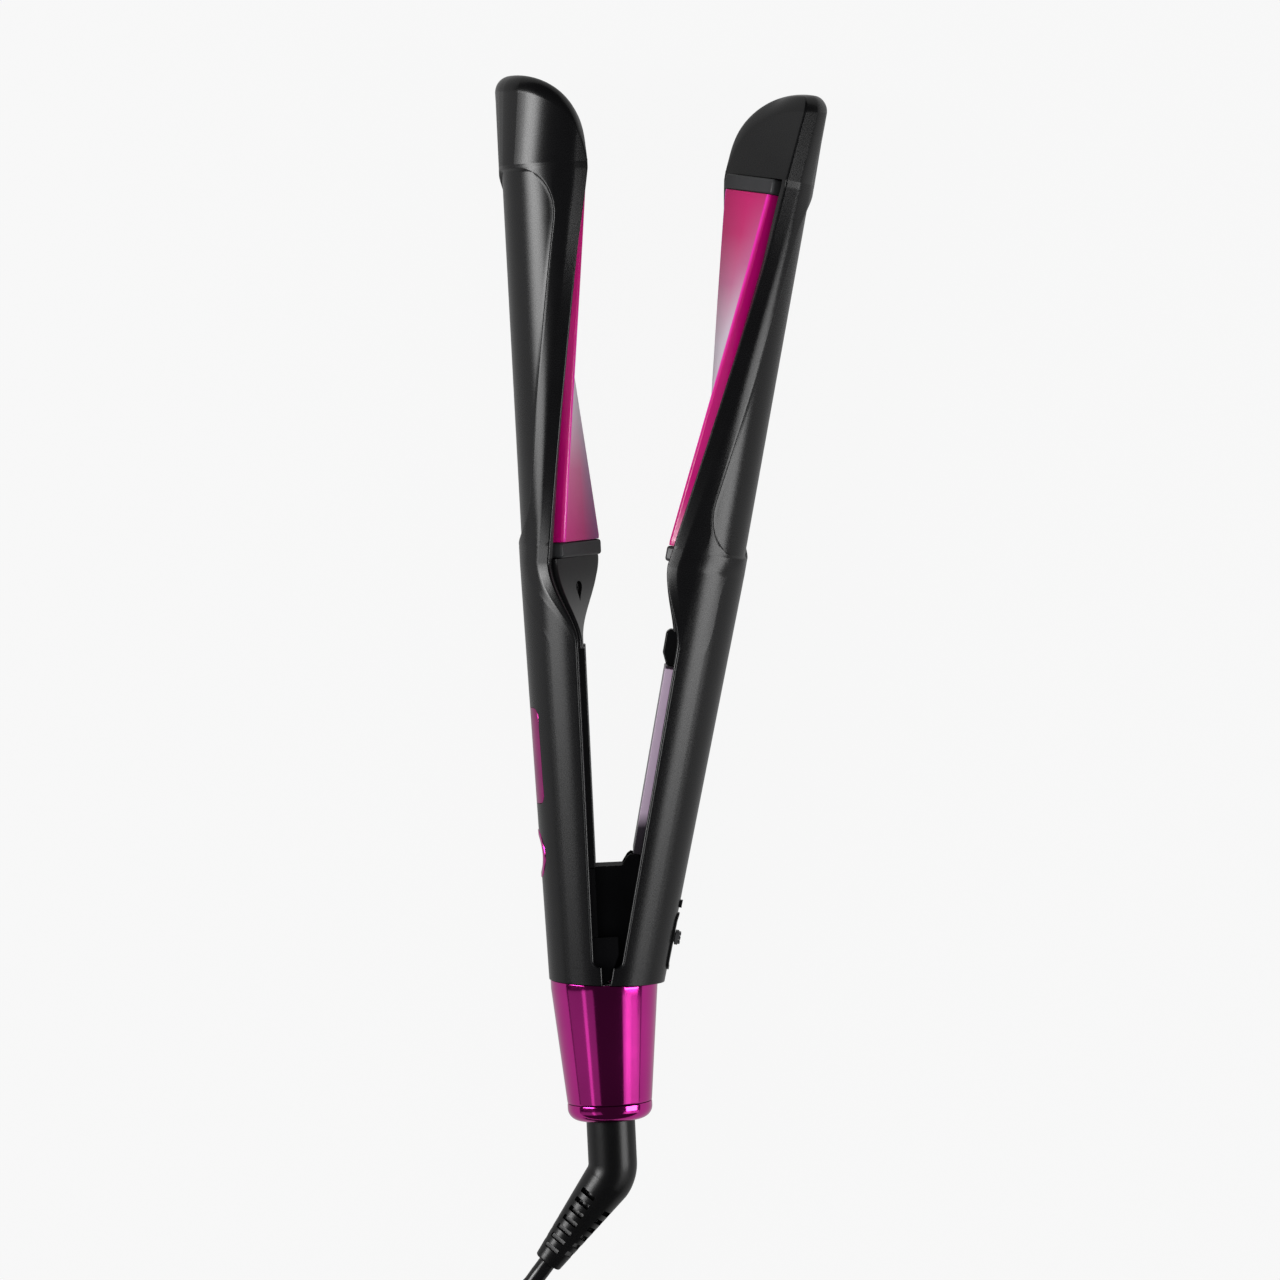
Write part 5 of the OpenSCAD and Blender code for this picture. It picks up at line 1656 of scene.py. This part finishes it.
@dataclass
class Relief:
    """Bent strain relief: stem in the swivel, elbow, slotted taper over a core, and end collar."""

    tail: Tail
    neck: float = 12.5
    stem_r: float = 6.9
    flange_r: float = 8.5
    flange_t: float = 2.4
    bend: float = 39.0
    bend_r: float = 9.0
    length: float = 28.3
    end_r: float = 4.0
    core_from: float = -2.0
    core_bend: float = 8.0
    core_short: float = 0.6
    core_radii: tuple = (4.2, 3.9, 3.2)
    pitch: float = 3.1
    slot_len: float = 1.5
    slot_w: float = 5.0
    slot_floor: float = 3.7
    slot_out: float = 11.7
    slot_soft: float = 0.3
    slot_rows: tuple = ((7, 4.4, 117), (6, 6.3, 27), (7, 4.4, 297), (6, 6.3, 207))

    @property
    def drop(self) -> float:
        """Where the elbow starts."""
        return self.tail.drop + self.tail.ring_len + self.neck

    def elbow(self, turned: float) -> Vector:
        """Place on the elbow where it has turned by so many degrees."""
        a = math.radians(turned)
        return Vector((-self.bend_r * (1 - math.cos(a)), -self.drop - self.bend_r * math.sin(a), 0))

    @property
    def knee(self) -> Vector:
        """Where the elbow ends."""
        return self.elbow(self.bend)

    @property
    def way(self) -> Vector:
        """Direction of the taper."""
        a = math.radians(self.bend)
        return Vector((-math.sin(a), -math.cos(a), 0))

    @property
    def tip(self) -> Vector:
        """Lower end of the taper."""
        return self.knee + self.way * self.length

    def sleeve(self) -> bpy.types.Object:
        """Stem, elbow and taper as one tube.

        Returns:
            The sleeve, without its slots.
        """
        top = self.tail.drop
        straight = [(top - self.flange_t, self.flange_r), (top - 0.1, self.flange_r)]
        straight += [(y, self.stem_r) for y in (top - 0.1, *spread(top, self.drop, 6))]
        path = [(Vector((0, -y, 0)), r) for y, r in straight]
        path += [(self.elbow(a), self.stem_r) for a in spread(0, self.bend, 14)[1:]]
        path += [(self.knee + self.way * x, mix(self.stem_r, self.end_r, x / self.length))
                 for x in spread(0, self.length - 0.5, 28)[1:]]
        path += [(self.tip - self.way * 0.2, self.end_r - 0.1), (self.tip, self.end_r - 0.4)]
        points = [p for p, _ in path]
        ways = [Vector((0, -1, 0))] * len(straight) + [None] * len(points)
        rings = [self.round_at(points, k, r, ways[k]) for k, (_, r) in enumerate(path)]
        return Solid().loft(rings).to_object("relief_sleeve", IRON_POSE)

    @staticmethod
    def round_at(points: Sequence[Vector], k: int, r: float, way: Vector | None) -> list[Vector]:
        """Ring of the sleeve, square to the path.

        Args:
            points: the path.
            k: which of its points.
            r: the radius there.
            way: the ring's direction, or None for the path's own.

        Returns:
            The points of the ring.
        """
        if way is None:
            way = (points[min(k + 1, len(points) - 1)] - points[k - 1]).normalized()
        up = Vector((0, 0, 1))
        other = way.cross(up)
        return [points[k] + r * (math.cos(a) * up + math.sin(a) * other)
                for a in spread(0, 2 * math.pi, 64)[:-1]]

    def slots(self) -> list[bpy.types.Object]:
        """Cutters of the slots, in four rows.

        Returns:
            The cutters.
        """
        bend = Matrix.Rotation(math.radians(-self.bend), 4, "Z")
        along = Matrix.Translation(self.knee) @ bend @ Matrix.Rotation(math.pi / 2, 4, "X")
        found = []
        for count, first, roll in self.slot_rows:
            for k in range(count):
                z = first + k * self.pitch
                low = Vector((self.slot_floor, -self.slot_w / 2, z))
                high = Vector((self.slot_out, self.slot_w / 2, z + self.slot_len))
                turn = along @ Matrix.Rotation(math.radians(roll), 4, "Z")
                block = Solid().block(low, high, 0, self.slot_soft).transform(turn)
                found.append(block.to_object("slot_cutter", IRON_POSE))
        return found

    def build(self) -> bpy.types.Object:
        """Cuts the slots and adds the core that shows in them.

        Returns:
            The relief.
        """
        piece = self.sleeve()
        combine(piece, self.slots())
        core = tube([self.knee + self.way * self.core_from, self.knee + self.way * self.core_bend,
                     self.tip - self.way * self.core_short], self.core_radii, 48)
        combine(piece, [core.to_object("relief_core", IRON_POSE)], "UNION")
        smooth(piece, angle=42)
        return dress(piece, "cord", RUBBER, ["cord_boot"])


@dataclass
class MainsLead:
    """The cord: out of the strain relief, down to the table, round a coil and into the plug."""

    relief: Relief
    diameter: float = 5.0
    route: tuple = ((-54, -195, 18), (-62, -197.5, 16.5), (-72, -198.6, 13), (-82, -201, 8.5),
                    (-91.5, -206.5, 5), (-99, -215, 3), (-102, -226, 2.5))
    far_route: tuple = ((-102, -256, 7.8), (-100, -274, 7), (-92, -290, 7), (-78, -300, 7))
    plug_start: tuple = (-62, -302, 7)
    coil_c: Point = (-62, -242)
    coil_out: float = 40.0
    coil_step: float = 5.7
    coil_rise: float = 5.6
    coil_dip: float = 1.6
    coil_turns: int = 4
    rings: int = 36
    steps: int = 6
    straight: float = 3.0
    plug_straight: float = 4.0
    lap: float = 2.0
    plug_lap: float = 3.0

    def coil(self) -> list[Vector]:
        """Turns that wind in on the table, climb a layer and wind out again on top.

        Returns:
            Points of the coil.
        """
        turns = 2 * self.coil_turns
        half = self.coil_turns - 0.25
        points = []
        for k in range(turns * self.rings + 1):
            t = k / self.rings
            if t < half:
                r = self.coil_out - self.coil_step * t
            elif t > half + 0.5:
                r = self.coil_out - self.coil_step * (turns - t)
            else:
                r = (self.coil_out - self.coil_step * half
                     - self.coil_dip * math.sin(2 * math.pi * (t - half)))
            a = math.pi + 2 * math.pi * t
            z = self.diameter / 2 + self.coil_rise * ease((t - half) / 0.5)
            points.append(Vector((*self.coil_c, z)) + r * Vector((math.cos(a), math.sin(a), 0)))
        return points

    @staticmethod
    def flowing(points: Sequence[Vector], steps: int) -> list[Vector]:
        """Smooth course through chosen points.

        Args:
            points: the points that it passes.
            steps: stretches between two of them.

        Returns:
            Points of the course.
        """
        ends = [2 * points[0] - points[1], *points, 2 * points[-1] - points[-2]]
        found = []
        for a, b, c, d in zip(ends, ends[1:], ends[2:], ends[3:]):
            for j in range(steps):
                t = j / steps
                found.append(0.5 * (2 * b + (c - a) * t + (2 * a - 5 * b + 4 * c - d) * t ** 2
                                    + (3 * b - a - 3 * c + d) * t ** 3))
        return [*found, points[-1]]

    def build(self, with_pieces: Sequence[bpy.types.Object]) -> None:
        """Args:
            with_pieces: the pieces at its ends, which go with it; not used.
        """
        hinge = HINGE / MM
        start = self.relief.tip + hinge
        lead = Vector((0, -self.diameter, 0))
        coil = self.coil()
        way = self.relief.way
        first = self.flowing([start + self.straight * way, *map(Vector, self.route),
                              coil[0] - 1.5 * lead], self.steps)
        plug = Vector(self.plug_start)
        last = self.flowing([coil[-1] + 1.5 * lead, *map(Vector, self.far_route),
                             plug - Vector((self.plug_straight, 0, 0))], self.steps)
        points = [start - self.lap * way, start, *first, coil[0] - lead, *coil,
                  coil[-1] + lead, *last, plug, plug + Vector((self.plug_lap, 0, 0))]
        curve = bpy.data.curves.new("mains_lead", "CURVE")
        curve.dimensions = "3D"
        curve.bevel_depth = self.diameter / 2 * MM
        curve.bevel_resolution = 6
        curve.use_fill_caps = True
        spline = curve.splines.new("POLY")
        spline.points.add(len(points) - 1)
        for knot, p in zip(spline.points, points):
            knot.co = (*(p * MM), 1)
        spline.use_smooth = True
        curve.materials.append(SHEATH.material())
        piece = place("mains_lead", curve)
        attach(piece, "cord")
        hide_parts("cord_run", "cord_coil", "plug_tail")
        length = sum((b - a).length for a, b in zip(points, points[1:]))
        LOG.info("mains_lead is %.0f mm long", length)


@dataclass
class Plug:
    """Flat two-pin plug on the cord's far end."""

    start: tuple = (-62, -302, 7)
    relief_len: float = 16.0
    core_r: float = 3.5
    core_end_r: float = 4.7
    rib_count: int = 4
    rib_start: float = 2.0
    rib_pitch: float = 3.6
    rib_len: float = 1.8
    rib_r: float = 4.8
    rib_grow: float = 0.15
    rib_soft: float = 0.3

    def ribs(self) -> bpy.types.Object:
        """Ribbed strain relief of the plug.

        Returns:
            The relief.
        """
        soft = self.rib_soft
        outline = [(0, 0), (self.core_r, 0)]
        for k in range(self.rib_count):
            y = self.rib_start + self.rib_pitch * k
            end = y + self.rib_len
            r = self.rib_r + self.rib_grow * k
            core = mix(self.core_r, self.core_end_r, y / self.relief_len)
            outline += [(core, y - 0.1), (r - soft, y), (r, y + soft), (r, end - soft),
                        (r - soft, end), (core + 0.15, end + 0.1)]
        outline += [(self.core_end_r, self.relief_len), (0, self.relief_len)]
        pose = TABLE_POSE @ Matrix.Translation(self.start) @ Matrix.Rotation(-math.pi / 2, 4, "Z")
        solid = Solid().turn(outline, 48)
        return solid.to_piece("plug_ribs", pose, "cord", RUBBER, "plug_relief", 50)

    def build(self) -> list[bpy.types.Object]:
        """Makes the plug.

        Returns:
            Its pieces, the ribbed relief first.
        """
        body = dressed_copy("plug_body", "plug_shell", "cord", RUBBER, 1.3)
        pins = dressed_copy("plug_pins", "plug_blades", "cord", NICKEL, 0.15)
        return [self.ribs(), body, pins]


# ---------- studio ----------


def aimed(spot: Vector, aim: Vector, up: Vector) -> Matrix:
    """Turns a lamp or the camera to face a point.

    Args:
        spot: where it stands.
        aim: the point that it faces.
        up: the way that its top is turned.

    Returns:
        Its pose.
    """
    back = (spot - aim).normalized()
    right = up.cross(back).normalized()
    turn = Matrix((right, back.cross(right), back)).transposed()
    return Matrix.Translation(spot) @ turn.to_4x4()


@dataclass(frozen=True)
class Lamp:
    """Soft rectangular lamp.

    Attributes:
        name: the lamp's name.
        spot: where it hangs, in metres.
        aim: the point that it faces, in metres.
        size: its width, and its length along the iron, in metres.
        power: its power, in watts.
        mirrored: whether glossy surfaces show its mirror image.
    """

    name: str
    spot: Triple
    aim: Triple
    size: Point
    power: float
    mirrored: bool = True

    def build(self) -> None:
        """Hangs the lamp."""
        data = bpy.data.lights.new(self.name, "AREA")
        data.shape = "RECTANGLE"
        data.size, data.size_y = self.size
        data.energy = self.power
        made = place(self.name, data)
        made.matrix_world = aimed(Vector(self.spot), Vector(self.aim), Vector((0, 1, 0)))
        made.visible_glossy = self.mirrored


LAMPS = (Lamp("left_box", (-1.10, 0.11, 0.62), (-0.03, 0.11, 0), (0.75, 0.47), 7.0),
         Lamp("left_top", (-1.04, 0.20, 0.60), (-0.03, 0.20, 0), (0.42, 0.2), 3.0),
         Lamp("right_box", (1.10, -0.27, 0.62), (0.02, -0.27, 0), (0.75, 0.30), 5.8),
         Lamp("tail_box", (1.21, -0.76, 0.62), (-0.03, -0.13, 0), (1.27, 0.5), 1.5),
         Lamp("tail_core", (1.02, -0.72, 0.80), (-0.03, -0.13, 0), (0.34, 0.5), 0.2),
         Lamp("tail_line", (-0.95, -0.64, 0.9), (-0.03, -0.13, 0), (0.18, 0.6), 0.22),
         Lamp("tail_wash", (-1.13, -0.68, 0.75), (-0.03, -0.13, 0), (1.67, 0.6), 0.8),
         Lamp("fill", (0, 0, 1.8), (0, 0.001, 0), (2.0, 2.0), 20, mirrored=False))


@dataclass
class Studio:
    """Pale floor, even light from all round and the camera over the iron.

    Attributes:
        aim: what the camera looks at, from the hinge, in millimetres.
        stand_y: how far along the iron the camera stands, in millimetres.
        distance: from the camera to its aim, in millimetres.
        roll: how far the picture is turned, in degrees.
        lens: the camera's focal length, in millimetres.
        sensor: width of its sensor, in millimetres.
        floor_r: the floor's radius, in metres.
        floor_drop: how far the floor lies under the iron, in millimetres.
        floor_glow: share of the floor's look that is plain light where the camera sees it.
        floor_mirrored: the part of that share that reflections show.
        sky_dim: strength of the even light.
        sky_glow: what the camera sees more than that.
        sky_mirrored: the part of that surplus that reflections show.
    """

    aim: Point = (14.7, 102.4)
    stand_y: float = 185.0
    distance: float = 1551.0
    roll: float = 2.7
    lens: float = 154.7
    sensor: float = 36.0
    floor_r: float = 8.0
    floor_drop: float = 0.2
    floor_glow: float = 0.92
    floor_mirrored: float = 0.36
    sky_dim: float = 0.02
    sky_glow: float = 0.9
    sky_mirrored: float = 0.02

    def camera(self) -> None:
        """Camera that looks down at the lying iron, noses up in the picture."""
        data = bpy.data.cameras.new("camera")
        data.lens = self.lens
        data.sensor_width = self.sensor
        data.clip_end = 20
        made = place("camera", data)
        x, y = self.aim
        rise = math.sqrt(self.distance ** 2 - (self.stand_y - y) ** 2)
        spot = HINGE + Vector((x, self.stand_y, rise)) * MM
        roll = math.radians(self.roll)
        up = Vector((math.sin(roll), math.cos(roll), 0))
        made.matrix_world = aimed(spot, HINGE + Vector((x, y, 0)) * MM, up)
        bpy.context.scene.camera = made

    def floor(self) -> None:
        """Wide pale floor that keeps the iron's shadow."""
        solid = Solid()
        bmesh.ops.create_circle(solid.bm, cap_ends=True, segments=64, radius=self.floor_r)
        made = solid.to_object("floor", Matrix.Translation((0, 0, -self.floor_drop * MM)))
        shade = Shade("floor_paper")
        shade.set(Roughness=0.9, Specular_IOR_Level=0.1)
        paper = shade.noise(400, 2)
        grey = shade.ramp(paper, (0.3, (0.19, 0.19, 0.19)), (0.7, (0.21, 0.21, 0.21)))
        shade.feed(grey, "Base Color")
        glow = shade.node("ShaderNodeEmission")
        glow.inputs["Strength"].default_value = 1.0
        both = shade.node("ShaderNodeMixShader")
        seen = seen_share(shade.tree, self.floor_mirrored)
        shade.join(calculate(shade.tree, "MULTIPLY", seen, self.floor_glow), both.inputs[0])
        shade.join(shade.shader.outputs[0], both.inputs[1])
        shade.join(glow.outputs[0], both.inputs[2])
        shade.join(both.outputs[0], shade.out)
        made.data.materials.append(shade.material)

    def world(self) -> None:
        """Dim even light from all round, behind which a pale backdrop is seen."""
        world = bpy.data.worlds.new("studio")
        bpy.context.scene.world = world
        world.use_nodes = True
        tree = world.node_tree
        seen = seen_share(tree, self.sky_mirrored)
        sky = tree.nodes["Background"].inputs
        sky["Color"].default_value = (1, 1, 1, 1)
        tree.links.new(calculate(tree, "MULTIPLY_ADD", seen, self.sky_glow, self.sky_dim),
                       sky["Strength"])

    def light(self) -> None:
        """All the light."""
        self.world()
        for lamp in LAMPS:
            lamp.build()
        bpy.context.scene.view_settings.view_transform = "Standard"


def build_arms() -> None:
    """Shells with their openings, plates, covers and what lies in them."""
    controls = Controls()
    lock = Lock()
    for side in Side:
        shell = Shell(side)
        piece = shell.build()
        if side is Side.FIXED:
            combine(piece, [controls.window_cutter(), controls.button_cutter()])
        else:
            combine(piece, lock.cutters())
        shell.finish(piece)
        Plates(side).build()
    NeckCover(Side.FIXED, 101.6).build()
    NeckCover(Side.MOVING, 107.9).build()
    GripCovers().build()
    controls.build()
    lock.build()


def main() -> None:
    """Builds everything in order, the camera and the cord first."""
    logging.basicConfig(level=logging.INFO, format="%(name)s: %(message)s")
    studio = Studio()
    studio.camera()
    tail = Tail()
    relief = Relief(tail)
    plug = Plug().build()
    sleeve = relief.build()
    MainsLead(relief).build([sleeve, *plug])
    tail.build()
    Hinge().build()
    build_arms()
    studio.floor()
    studio.light()


if __name__ == "__main__":
    main()
